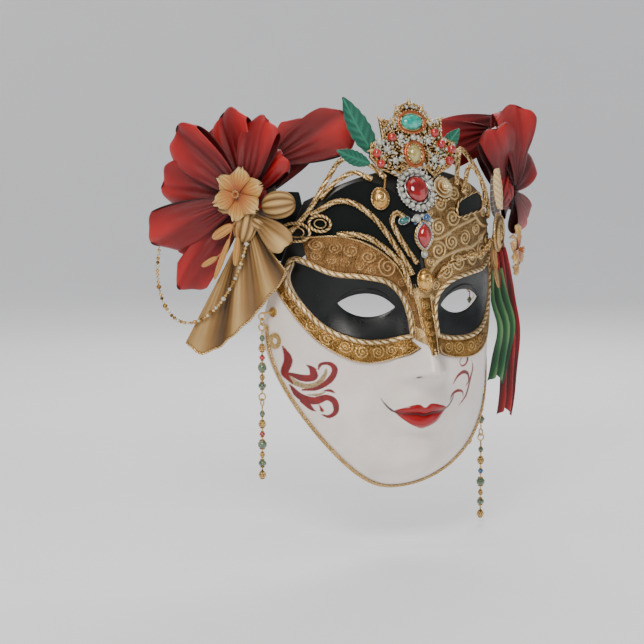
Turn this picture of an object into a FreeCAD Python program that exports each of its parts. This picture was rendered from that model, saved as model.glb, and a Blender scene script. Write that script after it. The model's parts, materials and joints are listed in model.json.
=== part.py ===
import FreeCAD
import Part
import Sketcher
import math
import os
from FreeCAD import Placement, Rotation, Vector

# A full-face carnival mask: a white moulded shell with a jewelled gold half mask, ribbon rosettes
# and bead strands. It stands upright as it is worn: it faces -Y, +Z is up and +X is the side of the
# wearer's left eye. The origin is midway between the eyes, in the plane of the shell's back edge at
# the temples.

OUT = "parts"
os.makedirs(OUT, exist_ok=True)

# Driving dimensions in millimetres, angles in degrees.
DIMENSIONS = {
    # the head form
    "dome_half_width": 84.0,
    "dome_depth": 88.0,
    "dome_middle_height": -18.0,
    "dome_reach_up": 130.0,
    "dome_reach_down": 112.0,
    "rim_depth": 29.0,
    "outline_half_width": 80.0,
    "outline_half_height": 102.0,
    "jaw_taper": 0.15,
    "top_squareness": 0.36,
    # the layers on the head form
    "shell_thickness": 2.4,
    "lining_gap": 0.3,
    "lining_thickness": 1.0,
    "lining_chin_line": -88.0,
    "panel_thickness": 0.8,
    "band_thickness": 1.5,
    "layer_gap": 0.15,
    "rim_width": 2.8,
    "rim_height": 2.6,
    "cord_width": 3.0,
    "cord_height": 2.4,
    "braid_width": 3.4,
    "brow_pad_thickness": 5.0,
    # eye holes
    "eye_spacing": 66.0,
    "eye_width": 34.0,
    "eye_height": 15.0,
    "eye_tilt": 5.0,
    "nostril_radius": 2.6,
    # tie eyelets
    "eyelet_bore": 2.2,
    "eyelet_tube": 3.2,
    "eyelet_flange": 5.0,
    "eyelet_flange_thickness": 0.8,
    "eyelet_length": 5.2,
    # jewels
    "ruby_radius_wide": 7.4,
    "ruby_radius_tall": 8.4,
    "ruby_height": 5.0,
    "halo_inner": 9.0,
    "halo_outer": 13.4,
    "halo_height": 2.6,
    "turquoise_radius_wide": 7.4,
    "turquoise_radius_tall": 4.9,
    "turquoise_height": 3.8,
    "turquoise_bezel_wall": 2.2,
    "amber_radius_wide": 4.4,
    "amber_radius_tall": 5.6,
    "amber_height": 3.2,
    "amber_bezel_inner": 5.9,
    "amber_bezel_outer": 7.9,
    "bezel_height": 2.4,
    "stone_clearance": 0.2,
    "drop_radius_wide": 4.6,
    "drop_radius_tall": 7.4,
    "drop_height": 3.4,
    "boss_radius_wide": 5.4,
    "boss_radius_tall": 6.8,
    "boss_height": 4.4,
    "drop_setting_wall": 1.4,
    "drop_setting_height": 1.8,
    "crest_plate_thickness": 1.6,
    "crystal_radius": 2.2,
    "coral_radius": 2.8,
    "sapphire_radius": 2.0,
    # rosettes, flowers and ribbons
    "wing_thickness": 1.2,
    "rosette_across": 88.0,
    "rosette_up": 66.0,
    "rosette_back": -2.0,
    "rosette_turn": 48.7,
    "rosette_pad_radius": 17.0,
    "rosette_pad_thickness": 2.0,
    "loop_depth": 3.4,
    "loop_layer_low": 6.0,
    "loop_layer_high": 13.2,
    "petal_half_length": 7.6,
    "petal_half_width": 4.3,
    "petal_half_depth": 1.6,
    "petal_ring_radius": 9.6,
    "petal_layer_step": 3.4,
    "flower_button_radius": 2.8,
    "flower_stem_radius": 1.6,
    "medallion_rim": 12.5,
    "medallion_floor": 10.0,
    "medallion_dome": 3.0,
    "medallion_thickness": 2.4,
    "ribbon_thickness": 1.0,
    "swag_diameter": 2.4,
    # bead strands
    "loop_ring_radius": 2.2,
    "wire_radius": 0.5,
    "loop_play": 0.12,
    "hook_plate_radius": 3.0,
    "hook_plate_thickness": 0.9,
    "bead_small": 1.9,
    "bead_medium": 2.6,
    "bead_large": 3.4,
    "bead_bore_play": 0.06,
}

doc = FreeCAD.newDocument("VenetianMask")
sheet = doc.addObject("Spreadsheet::Sheet", "Dimensions")
for row, (alias, value) in enumerate(DIMENSIONS.items(), start=1):
    sheet.set(f"A{row}", alias.replace("_", " "))
    sheet.set(f"B{row}", str(value))
    sheet.setAlias(f"B{row}", alias)
doc.recompute()

SUBPARTS = []


def size(alias):
    """The value of a driving dimension, read from the sheet."""
    return float(sheet.get(alias))


def keep(obj, label):
    """Names an object as a sub-part of the mask."""
    obj.Label = label
    SUBPARTS.append(obj)
    return obj


# ---------------------------------------------------------------- the head form

# Gaussian swellings and hollows: place across, place up, spread across, spread up, height.
# Those with a place across stand on both sides.
FEATURES = {
    "eye_socket": (32.0, -3.0, 17.0, 12.0, -6.0),
    "brow_ridge": (28.0, 19.0, 22.0, 8.0, 2.5),
    "cheekbone": (47.0, -30.0, 18.0, 15.0, 4.0),
    "nostril_wing": (11.5, -41.0, 6.0, 6.0, 7.0),
    "muzzle": (0.0, -66.0, 22.0, 16.0, 4.0),
    "upper_lip": (0.0, -63.0, 19.0, 4.5, 4.0),
    "lower_lip": (0.0, -73.5, 15.0, 5.0, 5.0),
    "under_lip_hollow": (0.0, -84.0, 16.0, 5.0, -4.0),
    "chin": (0.0, -99.0, 18.0, 13.0, 9.0),
    "forehead_swell": (0.0, 50.0, 40.0, 30.0, 2.0),
}
NOSE_TOP, NOSE_TIP = 10.0, -40.0
NOSE_BRIDGE_HEIGHT, NOSE_TIP_HEIGHT = 4.0, 23.0
NOSE_BRIDGE_WIDTH, NOSE_TIP_WIDTH = 8.0, 10.5
NOSE_UNDERSIDE, NOSE_ROOT_FADE = 7.0, 12.0
DOME_POWER_ACROSS, DOME_POWER_UP, DOME_KNEE = 2.4, 5.0, 0.10


def jaw_share(up):
    """How far down towards the chin a height is: 0 at the middle of the oval and above it, 1 at its foot."""
    return max(0.0, -up / size("outline_half_height"))


def dome(x, z):
    """Forward reach of the plain head form, continued as a straight slope past its edge."""
    up = z - size("dome_middle_height")
    reach = size("dome_reach_up") if up > 0 else size("dome_reach_down")
    half_width = size("dome_half_width") * (1 - size("jaw_taper") * 0.8 * min(jaw_share(up), 1.0) ** 2)
    left = 1.0 - abs(x / half_width) ** DOME_POWER_ACROSS - abs(up / reach) ** DOME_POWER_UP
    knee = math.sqrt(DOME_KNEE)
    share = math.sqrt(left) if left > DOME_KNEE else knee + (left - DOME_KNEE) / (2.0 * knee)
    return size("dome_depth") * max(share, -0.5)


def nose(x, z):
    """Forward reach of the nose above the dome."""
    along = (NOSE_TOP - z) / (NOSE_TOP - NOSE_TIP)
    if along < 0:
        height = NOSE_BRIDGE_HEIGHT * math.exp(-(((z - NOSE_TOP) / NOSE_ROOT_FADE) ** 2))
    elif along < 1:
        height = NOSE_BRIDGE_HEIGHT + (NOSE_TIP_HEIGHT - NOSE_BRIDGE_HEIGHT) * along**1.2
    else:
        height = NOSE_TIP_HEIGHT * math.exp(-(((z - NOSE_TIP) / NOSE_UNDERSIDE) ** 2))
    width = NOSE_BRIDGE_WIDTH + (NOSE_TIP_WIDTH - NOSE_BRIDGE_WIDTH) * min(max(along, 0.0), 1.0)
    return height * math.exp(-((x / width) ** 2))


def face_y(x, z):
    """Y of the shell's outer face at a place seen from the front."""
    depth = dome(x, z) + nose(x, z)
    for across, up, spread_across, spread_up, height in FEATURES.values():
        fall = ((abs(x) - across) / spread_across) ** 2 + ((z - up) / spread_up) ** 2
        depth += height * math.exp(-fall)
    return size("rim_depth") - depth


def face_normal(x, z):
    """Unit vector that points out of the face."""
    step = 0.4
    slope_x = (face_y(x + step, z) - face_y(x - step, z)) / (2 * step)
    slope_z = (face_y(x, z + step) - face_y(x, z - step)) / (2 * step)
    return Vector(slope_x, -1.0, slope_z).normalize()


def on_face(x, z, lift=0.0):
    """A point above the shell's outer face, along the face's normal."""
    return Vector(x, face_y(x, z), z) + face_normal(x, z) * lift


# ---------------------------------------------------------------- solids that follow the head form


def surface_through(grid):
    surface = Part.BSplineSurface()
    surface.interpolate(grid)
    return surface


def solid_from_faces(faces, tolerance=0.01):
    """One closed solid sewn from its faces."""
    shell = Part.makeShell(faces)
    if not shell.isClosed():
        compound = Part.makeCompound(faces)
        compound.sewShape(tolerance)
        shell = compound.Shells[0]
    solid = Part.makeSolid(shell)
    if solid.Volume < 0:
        solid.reverse()
    if not solid.isValid():
        solid.fix(tolerance, tolerance, tolerance)
    return solid


def solid_between(top_grid, bottom_grid):
    """The solid between two grids of points that match one another."""
    top, bottom = surface_through(top_grid), surface_through(bottom_grid)
    faces = [top.toShape(), bottom.toShape()]
    u0, u1, v0, v1 = top.bounds()
    p0, p1, q0, q1 = bottom.bounds()
    pairs = (
        (top.uIso(u0), bottom.uIso(p0)),
        (top.uIso(u1), bottom.uIso(p1)),
        (top.vIso(v0), bottom.vIso(q0)),
        (top.vIso(v1), bottom.vIso(q1)),
    )
    for above, below in pairs:
        faces.append(Part.makeRuledSurface(above.toShape(), below.toShape()).Faces[0])
    return solid_from_faces(faces)


def oval_place(u, v):
    """Place on the face for square coordinates from -1 to 1: an oval, squarer above, narrow at the jaw."""
    rise = max(0.0, v)
    roundness = 0.5 - (0.5 - size("top_squareness")) * rise * rise * (3 - 2 * rise)
    across = u * math.sqrt(1 - roundness * v * v) * size("outline_half_width")
    up = v * math.sqrt(1 - roundness * u * u) * size("outline_half_height")
    across *= 1 - size("jaw_taper") * jaw_share(up) ** 2
    return across, size("dome_middle_height") + up


def oval_grid(lift, rows, columns, share=1.0):
    """Points over the whole oval of the face."""
    grid = []
    for i in range(rows):
        v = share * (-1 + 2 * i / (rows - 1))
        places = [oval_place(share * (-1 + 2 * j / (columns - 1)), v) for j in range(columns)]
        grid.append([on_face(x, z, lift) for x, z in places])
    return grid


def outline_point(angle, share=1.0):
    """Place on the lower half of the shell's outline; 180 degrees is -X and 270 is the foot of the chin."""
    turn = math.radians(angle)
    up = size("outline_half_height") * share * math.sin(turn)
    taper = 1 - size("jaw_taper") * jaw_share(up) ** 2
    across = size("outline_half_width") * share * math.cos(turn) * taper
    return across, size("dome_middle_height") + up


def smooth(points, count, closed=False):
    """Places spaced along a smooth curve through a few hand-set points seen from the front."""
    curve = Part.BSplineCurve()
    curve.interpolate([Vector(x, 0, z) for x, z in points], PeriodicFlag=closed)
    total = count if closed else count - 1
    shape = curve.toShape()
    places = [curve.value(curve.parameterAtDistance(shape.Length * i / total)) for i in range(count)]
    return [(p.x, p.z) for p in places]


def bar(centres, sides, ups, closed=False):
    """A four-sided bar along a line of points, with half its width in sides and half its height in ups."""
    corners = ((1, 1), (-1, 1), (-1, -1), (1, -1))
    edges = []
    for across, over in corners:
        curve = Part.BSplineCurve()
        line = [c + s * across + u * over for c, s, u in zip(centres, sides, ups)]
        curve.interpolate(line, PeriodicFlag=closed)
        edges.append(curve.toShape())
    faces = [Part.makeRuledSurface(edges[i], edges[(i + 1) % 4]).Faces[0] for i in range(4)]
    if not closed:
        for at in (0, -1):
            ring = [centres[at] + sides[at] * a + ups[at] * b for a, b in corners]
            first = Part.Face(Part.makePolygon([ring[0], ring[1], ring[2], ring[0]]))
            second = Part.Face(Part.makePolygon([ring[0], ring[2], ring[3], ring[0]]))
            faces += [first, second]
    return solid_from_faces(faces)


def strip_on_face(places, width, low, high, closed=False):
    """A raised strip of the given width that follows the face between two lifts."""
    centres, sides, ups = [], [], []
    count = len(places)
    for i, (x, z) in enumerate(places):
        before = places[(i - 1) % count] if closed or i else places[i]
        after = places[(i + 1) % count] if closed or i < count - 1 else places[i]
        run = on_face(*after) - on_face(*before)
        normal = face_normal(x, z)
        side = normal.cross(run).normalize()
        centres.append(on_face(x, z, (low + high) / 2))
        sides.append(side * (width / 2))
        ups.append(normal * ((high - low) / 2))
    return bar(centres, sides, ups, closed)


def patch_on_face(lower, upper, low, high, rows=7):
    """A plate between two matching lines of places, following the face between two lifts."""
    grids = []
    for lift in (high, low):
        grid = []
        for i in range(rows):
            t = i / (rows - 1)
            row = [(a[0] + (b[0] - a[0]) * t, a[1] + (b[1] - a[1]) * t) for a, b in zip(lower, upper)]
            grid.append([on_face(x, z, lift) for x, z in row])
        grids.append(grid)
    return solid_between(*grids)


def feature(label, shape):
    """A sub-part whose shape is made with Part's own functions."""
    obj = doc.addObject("Part::Feature", label)
    obj.Shape = shape
    return keep(obj, label)


def facing(point, normal, upward=Vector(0, 0, 1)):
    """Placement whose local Z is the normal and whose local Y is as upright as it can be."""
    z_axis = Vector(normal).normalize()
    x_axis = upward.cross(z_axis).normalize()
    y_axis = z_axis.cross(x_axis)
    return Placement(point, Rotation(x_axis, y_axis, z_axis, "ZXY"))


def turned(place, angle):
    """The same placement, turned about its own Z by an angle in degrees."""
    return place.multiply(Placement(Vector(), Rotation(Vector(0, 0, 1), angle)))


def seat(x, z, lift):
    """Placement of a jewel that sits on the face."""
    return facing(on_face(x, z, lift), face_normal(x, z))


def mirror_name(side):
    return "left" if side < 0 else "right"


# ---------------------------------------------------------------- shell, lining and pads


def eye_outline(side, grow=0.0):
    """Closed almond wire of one eye hole, flat in the XZ plane."""
    half_w, half_h = size("eye_width") / 2 + grow, size("eye_height") / 2 + grow
    tilt = math.radians(size("eye_tilt")) * side
    corners = [(-half_w, 0.0), (0.0, half_h), (half_w, 0.0), (0.0, -half_h)]
    turned = []
    for x, z in corners:
        across = x * math.cos(tilt) - z * math.sin(tilt) + side * size("eye_spacing") / 2
        turned.append(Vector(across, 40, x * math.sin(tilt) + z * math.cos(tilt)))
    upper = Part.Arc(turned[0], turned[1], turned[2]).toShape()
    lower = Part.Arc(turned[2], turned[3], turned[0]).toShape()
    return Part.Wire([upper, lower])


def eye_prism(side, grow=0.0):
    """Cutter that runs from behind the mask to its front."""
    return Part.Face(eye_outline(side, grow)).extrude(Vector(0, -160, 0))


def eyelet_seat(side):
    """Placement of a tie eyelet: its axis points out of the shell at the temple."""
    return seat(side * EYELET_ACROSS, EYELET_UP, 0.0)


EYELET_ACROSS, EYELET_UP = 76.5, -24.0
NOSTRIL_ACROSS, NOSTRIL_Y = 6.2, -70.0
NOSE_RELIEF_HEIGHT, NOSE_RELIEF_WIDTH = 52.0, 20.0


def make_shell():
    thickness = size("shell_thickness")
    solid = solid_between(oval_grid(0.0, 45, 41), oval_grid(-thickness, 45, 41))
    for side in (-1, 1):
        solid = solid.cut(eye_prism(side))
        foot = Vector(side * NOSTRIL_ACROSS, NOSTRIL_Y, -58)
        nostril = Part.makeCylinder(size("nostril_radius"), 12, foot)
        solid = solid.cut(nostril)
        hole = Part.makeCylinder(size("eyelet_tube") + 0.02, 24)
        hole.Placement = eyelet_seat(side).multiply(Placement(Vector(0, 0, -12), Rotation()))
        solid = solid.cut(hole)
    feature("face_shell", solid)


def make_lining():
    top = -size("shell_thickness") - size("lining_gap")
    under = top - size("lining_thickness")
    solid = solid_between(oval_grid(top, 31, 29, 0.86), oval_grid(under, 31, 29, 0.86))
    for side in (-1, 1):
        solid = solid.cut(eye_prism(side, 2.0))
        foot = Vector(side * NOSTRIL_ACROSS, NOSTRIL_Y + 3, -64)
        nostril = Part.makeCylinder(size("nostril_radius") + 1.5, 24, foot)
        solid = solid.cut(nostril)
    relief = Part.Ellipse(Vector(0, 40, -38), NOSE_RELIEF_HEIGHT, NOSE_RELIEF_WIDTH)
    relief.Axis = Vector(0, 1, 0)
    relief.XAxis = Vector(0, 0, 1)
    cutter = Part.Face(Part.Wire([relief.toShape()])).extrude(Vector(0, -160, 0))
    below_chin_line = Part.makeBox(200, 200, 60, Vector(-100, -150, size("lining_chin_line") - 60))
    feature("shell_lining", solid.cut(cutter).cut(below_chin_line))


def make_brow_pad():
    top = -size("shell_thickness") - size("lining_gap") - size("lining_thickness") - size("layer_gap")
    low = smooth([(-42, 34), (-20, 30), (0, 28), (20, 30), (42, 34)], 13)
    high = smooth([(-40, 46), (-20, 46), (0, 46), (20, 46), (40, 46)], 13)
    feature("brow_pad", patch_on_face(low, high, top - size("brow_pad_thickness"), top, 5))


# ---------------------------------------------------------------- the gold half mask

# One eye opening of the half mask, for the wearer's left side, from its lower inner corner around the top.
OPENING_TOP = [
    (9.5, -18.0), (10.0, -6.0), (14.0, 5.0), (24.0, 13.5), (38.0, 16.5), (54.0, 18.5), (69.0, 27.0),
]
OPENING_BOTTOM = [
    (9.5, -18.0), (24.0, -21.0), (40.0, -20.5), (55.0, -13.5), (66.0, 1.0), (71.0, 15.0), (69.0, 27.0),
]


OPENING_STEPS = 24


def mirrored(points, side):
    return [(x * side, z) for x, z in points]


def opening(side, grow=0.0):
    """Upper and lower edges of an eye opening, moved out by grow, each from the nose to the temple."""
    around = smooth(OPENING_BOTTOM + OPENING_TOP[-2:0:-1], 2 * OPENING_STEPS, closed=True)
    moved = []
    for i, (x, z) in enumerate(around):
        (x0, z0), (x1, z1) = around[i - 1], around[(i + 1) % len(around)]
        run = math.hypot(x1 - x0, z1 - z0)
        moved.append((x + (z1 - z0) / run * grow, z - (x1 - x0) / run * grow))
    moved.append(moved[0])
    corner = max(range(len(around)), key=lambda k: moved[k][0] + moved[k][1])
    return mirrored(moved[: corner - 1 : -1], side), mirrored(moved[: corner + 1], side)


def make_eye_parts(side):
    name = mirror_name(side)
    gap = size("layer_gap")
    upper, lower = opening(side, -gap)
    panel = patch_on_face(smooth(lower, 17), smooth(upper, 17), gap, gap + size("panel_thickness"), 9)
    feature(f"eye_panel_{name}", panel.cut(eye_prism(side)))
    upper, lower = opening(side, size("rim_width") / 2 + gap)
    loop = smooth(lower, 16)[:-1] + smooth(upper, 16)[:0:-1]
    feature(f"eye_rim_{name}", strip_on_face(loop, size("rim_width"), gap, size("rim_height"), closed=True))


CHEEK_BAND_LOW = [
    (3.4, -28.0), (12.0, -31.5), (27.0, -35.0), (43.0, -34.0), (58.0, -25.0), (69.0, -9.0), (76.0, 9.0),
]
BAND_MARGIN = 3.25


def make_cheek_band(side):
    lower = smooth(mirrored(CHEEK_BAND_LOW, side), 17)
    top_line = opening(side, BAND_MARGIN)[1][:-1] + [(side * 75.0, 20.0)]
    upper = smooth(top_line, 17)
    gap = size("layer_gap")
    feature(f"cheek_band_{mirror_name(side)}", patch_on_face(lower, upper, gap, size("band_thickness"), 4))


# The brow is open gold work on the wearer's right and solid embossed gold on the left.
BROW_BAND_TOP_LEFT = [
    (-3.9, -15.0), (-5.6, 3.0), (-12.4, 15.0), (-20.5, 26.5), (-32.0, 36.0), (-48.0, 42.0), (-66.0, 41.0),
]
VELVET_BOTTOM_LEFT = [(-6.0, 9.0), (-10.5, 18.5), (-18.5, 30.5), (-31.0, 40.0), (-47.0, 46.0), (-65.0, 45.0)]
VELVET_TOP_LEFT = [(-1.0, 20.0), (-3.0, 44.0), (-12.0, 66.0), (-30.0, 76.0), (-48.0, 70.0), (-62.0, 55.0)]
PANEL_TOP_RIGHT = [
    (3.9, -15.0), (4.2, 6.0), (1.6, 28.0), (2.4, 52.0), (14.0, 69.0), (32.0, 77.0), (50.0, 70.0),
    (66.0, 52.0),
]


def make_brow():
    gap, thick = size("layer_gap"), size("band_thickness")
    band_low = smooth(opening(-1, BAND_MARGIN)[0], 17)
    feature("brow_band_left", patch_on_face(band_low, smooth(BROW_BAND_TOP_LEFT, 17), gap, thick, 5))
    bottom = smooth(VELVET_BOTTOM_LEFT, 15)
    top = smooth(VELVET_TOP_LEFT, 15)
    velvet = patch_on_face(bottom, top, gap, size("panel_thickness"), 8)
    feature("brow_velvet_left", velvet)
    panel_low = smooth(opening(1, BAND_MARGIN)[0], 19)
    panel = patch_on_face(panel_low, smooth(PANEL_TOP_RIGHT, 19), gap, thick, 8)
    feature("brow_panel_right", panel)


def make_nose_strip():
    """Tapering ornament down the ridge of the nose, ending in a point above the tip."""
    gap = size("layer_gap")
    left = smooth([(-3.0, 4.0), (-3.1, -8.0), (-2.5, -20.0), (-1.4, -30.0)], 11)
    right = [(-x, z) for x, z in left]
    feature("nose_strip", patch_on_face(left, right, gap, size("band_thickness") + 0.6, 5))


# ---------------------------------------------------------------- gold cords

# Centre lines of the scrolling cords, seen from the front.
CORDS_LEFT = {
    "top_loop": [(-70, 44), (-62, 57), (-53, 73), (-41, 87), (-29, 86), (-20, 77)],
    "inner_loop": [(-56, 65), (-48, 74), (-37, 80), (-28, 76)],
    "middle": [(-61, 55), (-50, 63), (-40, 62), (-29, 52), (-18, 36), (-8, 19)],
    "hook": [(-12, 54), (-17, 56.5), (-20, 52), (-17.5, 45), (-11.5, 35), (-4.5, 25.5)],
    "lower": [(-50, 44), (-40, 43.6), (-30, 39.6), (-19, 29.6), (-11.5, 18), (-7.2, 7.0)],
}
CORDS_RIGHT = {
    "top_loop": [(33, 78), (41, 88), (53, 92), (64, 86), (69, 73), (68, 60)],
    "inner_loop": [(39, 73), (46, 81), (55, 81), (61, 73), (61, 64)],
    "edge": [(9.5, 16.5), (20, 24.5), (34, 27.8), (50, 29.2), (65, 36)],
}
CURL_RINGS = ((-57.0, 50.0, 4.6), (-67.0, 44.5, 5.4))


def cord_solid(points, low):
    count = 5 * len(points)
    return strip_on_face(smooth(points, count), size("cord_width"), low, low + size("cord_height"))


def make_cords():
    above_panel = size("band_thickness") + size("layer_gap")
    left = [cord_solid(points, above_panel) for points in CORDS_LEFT.values()]
    feature("scroll_cords_left", Part.makeCompound(left))
    right = [cord_solid(points, above_panel) for points in CORDS_RIGHT.values()]
    feature("scroll_cords_right", Part.makeCompound(right))
    rings = []
    for x, z, radius in CURL_RINGS:
        angles = [math.tau * i / 16 for i in range(16)]
        turn = [(x + radius * math.cos(a), z + radius * math.sin(a)) for a in angles]
        lift = above_panel + size("cord_height") + size("layer_gap")
        top = lift + size("cord_height") * 0.8
        rings.append(strip_on_face(turn, size("cord_width") * 0.7, lift, top, closed=True))
    feature("curl_rings", Part.makeCompound(rings))


def make_edge_braid():
    """Braid glued to the shell's rim from temple to temple, around the chin."""
    width = size("braid_width")
    centres, sides, ups = [], [], []
    angles = [178 + 184 * i / 40 for i in range(41)]
    for angle in angles:
        x, z = outline_point(angle)
        ahead, behind = outline_point(angle + 1), outline_point(angle - 1)
        run = (on_face(*ahead) - on_face(*behind)).normalize()
        normal = face_normal(x, z)
        outward = run.cross(normal).normalize()
        inner = outline_point(angle, 0.98)
        if outward.dot(on_face(x, z) - on_face(*inner)) < 0:
            outward = outward * -1
        middle = on_face(x, z, -size("shell_thickness") / 2)
        centres.append(middle + outward * (size("layer_gap") + 0.9))
        sides.append(normal * (width / 2))
        ups.append(outward * 0.9)
    feature("edge_braid", bar(centres, sides, ups))


# ---------------------------------------------------------------- turned pieces and jewels


def revolved(label, profile, placement):
    """A PartDesign body turned about Z. Each corner of the profile is a pair of sheet names or 0."""
    body = doc.addObject("PartDesign::Body", label)
    plane = next(f for f in body.Origin.OriginFeatures if f.Role == "XZ_Plane")
    sketch = body.newObject("Sketcher::SketchObject", f"{label}_profile")
    sketch.AttachmentSupport = [(plane, "")]
    sketch.MapMode = "FlatFace"
    value = lambda term: 0.0 if term == 0 else sign(term) * size(term.lstrip("-"))
    corners = [Vector(value(r), value(h), 0) for r, h in profile]
    for i, corner in enumerate(corners):
        sketch.addGeometry(Part.LineSegment(corner, corners[(i + 1) % len(corners)]))
    for i in range(len(corners)):
        sketch.addConstraint(Sketcher.Constraint("Coincident", i, 2, (i + 1) % len(corners), 1))
    for i, (radius, height) in enumerate(profile):
        pin(sketch, "DistanceX", i, radius, -2)
        pin(sketch, "DistanceY", i, height, -1)
    turned = body.newObject("PartDesign::Revolution", f"{label}_turned")
    turned.Profile = (sketch, [""])
    turned.ReferenceAxis = (sketch, ["V_Axis"])
    turned.Angle = 360
    body.Placement = placement
    return body


def sign(term):
    return -1.0 if str(term).startswith("-") else 1.0


def pin(sketch, kind, corner, term, axis):
    """Holds a corner on an axis, or at the distance that a sheet cell gives."""
    if term == 0:
        sketch.addConstraint(Sketcher.Constraint("PointOnObject", corner, 1, axis))
        return
    alias = term.lstrip("-")
    index = sketch.addConstraint(Sketcher.Constraint(kind, -1, 1, corner, 1, sign(term) * size(alias)))
    prefix = "-" if term.startswith("-") else ""
    sketch.setExpression(f"Constraints[{index}]", f"{prefix}Dimensions.{alias}")


def cabochon(label, x, z, lift, wide, tall, high):
    """A polished stone: an ellipsoid with its lower half cut away."""
    stone = doc.addObject("Part::Ellipsoid", label)
    stone.setExpression("Radius1", f"Dimensions.{high}")
    stone.setExpression("Radius2", f"Dimensions.{wide}")
    stone.setExpression("Radius3", f"Dimensions.{tall}")
    stone.Angle1 = 0
    stone.Angle2 = 90
    stone.Placement = seat(x, z, lift)
    return keep(stone, label)


JEWEL_LIFT = 2.2


def make_jewels():
    """Stones and their settings down the middle of the brow."""
    ring = lambda inner, outer, high: [(inner, 0), (outer, 0), (outer, high), (inner, high)]
    halo = revolved("ruby_halo", ring("halo_inner", "halo_outer", "halo_height"), seat(*RUBY, JEWEL_LIFT))
    keep(halo, "ruby_halo")
    cabochon("ruby_stone", *RUBY, JEWEL_LIFT, "ruby_radius_wide", "ruby_radius_tall", "ruby_height")
    cabochon(
        "ruby_drop_stone", *RUBY_DROP, JEWEL_LIFT, "drop_radius_wide", "drop_radius_tall", "drop_height",
    )
    cabochon("bridge_boss", *BOSS, JEWEL_LIFT, "boss_radius_wide", "boss_radius_tall", "boss_height")
    pearl_lift = JEWEL_LIFT + 0.6
    cabochon("gold_pearl", *GOLD_PEARL, pearl_lift, "boss_radius_wide", "boss_radius_tall", "boss_height")


RUBY = (-1.0, 70.0)
RUBY_DROP = (1.0, 42.5)
BOSS = (0.0, 15.0)
GOLD_PEARL = (-25.5, 65.0)

# The crest stands on a plate that rises above the shell. Its own frame: X across, Y up, Z out of its front.
CREST_FOOT = Placement(Vector(0, -50.5, 84.0), Rotation(Vector(1, 0, 0), 78.0))


def crest_place(across, up, out=0.0):
    """Placement on the crest, whose local Z points out of its front."""
    return CREST_FOOT.multiply(Placement(Vector(across, up, out), Rotation()))



CREST_FOOT_NOTCH, CREST_TIP = (0, 1.4), (0, 42)
CREST_SIDE = [(8, -0.5), (13, -5.5), (25, 0), (31, 7), (30, 15), (21, 19), (22, 31), (13, 29), (9, 38)]
CRYSTALS_ON_CREST = [
    (-8.6, 19.4), (-19.5, 11.8), (-14, 4.6), (0.2, 18.8), (10.6, 16.4), (13.5, 4.7), (-24, 16), (19, 3),
]
CORAL_ON_CREST = [(-15, 19), (-26.6, 9.2), (-24.6, 2.6), (15.5, 21.5), (19.6, 14.4), (26.6, 11), (24.2, 3.8)]
AMBER_UP, TURQUOISE_UP = 8.6, 28.5


def make_crest():
    body = doc.addObject("PartDesign::Body", "crest_plate")
    plane = next(f for f in body.Origin.OriginFeatures if f.Role == "XY_Plane")
    sketch = body.newObject("Sketcher::SketchObject", "crest_outline")
    sketch.AttachmentSupport = [(plane, "")]
    sketch.MapMode = "FlatFace"
    left = [(-x, y) for x, y in reversed(CREST_SIDE)]
    corners = [Vector(x, y, 0) for x, y in [CREST_FOOT_NOTCH] + CREST_SIDE + [CREST_TIP] + left]
    for i, corner in enumerate(corners):
        sketch.addGeometry(Part.LineSegment(corner, corners[(i + 1) % len(corners)]))
    for i in range(len(corners)):
        sketch.addConstraint(Sketcher.Constraint("Coincident", i, 2, (i + 1) % len(corners), 1))
    pad = body.newObject("PartDesign::Pad", "crest_pad")
    pad.Profile = sketch
    pad.setExpression("Length", "Dimensions.crest_plate_thickness")
    body.Placement = CREST_FOOT
    keep(body, "crest_plate")
    top = size("crest_plate_thickness") + size("layer_gap") / 3
    ring = [("amber_bezel_inner", 0), ("amber_bezel_outer", 0), ("amber_bezel_outer", "bezel_height")]
    ring.append(("amber_bezel_inner", "bezel_height"))
    keep(revolved("amber_bezel", ring, crest_place(0, AMBER_UP, top)), "amber_bezel")
    amber_place = crest_place(0, AMBER_UP, top)
    stone_on("amber_stone", amber_place, "amber_radius_wide", "amber_radius_tall", "amber_height")
    seat_place = crest_place(0, TURQUOISE_UP, top)
    wide, tall = size("turquoise_radius_wide"), size("turquoise_radius_tall")
    oval_ring("turquoise_bezel", wide, tall, size("turquoise_bezel_wall"), size("bezel_height"), seat_place)
    radii = ["turquoise_radius_wide", "turquoise_radius_tall", "turquoise_height"]
    stone_on("turquoise_stone", seat_place, *radii)
    bead_group("crystal_stones", CRYSTALS_ON_CREST, "crystal_radius", top)
    bead_group("coral_beads", CORAL_ON_CREST, "coral_radius", top)


def bead_group(label, places, radius, base):
    """Equal round stones set on the crest plate, as one group."""
    members = []
    for i, (across, up) in enumerate(places):
        bead = doc.addObject("Part::Sphere", f"{label}_{i}")
        bead.setExpression("Radius", f"Dimensions.{radius}")
        bead.Placement = crest_place(across, up, base + size(radius))
        members.append(bead)
    group(label, members)


def group(label, members):
    compound = doc.addObject("Part::Compound", label)
    compound.Links = members
    return keep(compound, label)


def fused(label, members):
    union = doc.addObject("Part::MultiFuse", label)
    union.Shapes = members
    return union


def oval_ring(label, wide, tall, wall, height, placement):
    """An oval collar round a stone."""
    gap = size("stone_clearance")

    def oval(grow):
        a, b = wide + grow, tall + grow
        return Part.Wire([Part.Ellipse(Vector(0, 0, 0), a, b).toShape()])

    if tall > wide:
        raise ValueError("an oval collar is written with its longer radius across")
    ring = Part.Face(oval(gap + wall)).extrude(Vector(0, 0, height))
    ring = ring.cut(Part.Face(oval(gap)).extrude(Vector(0, 0, height)))
    obj = feature(label, ring)
    obj.Placement = placement
    return obj


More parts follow.
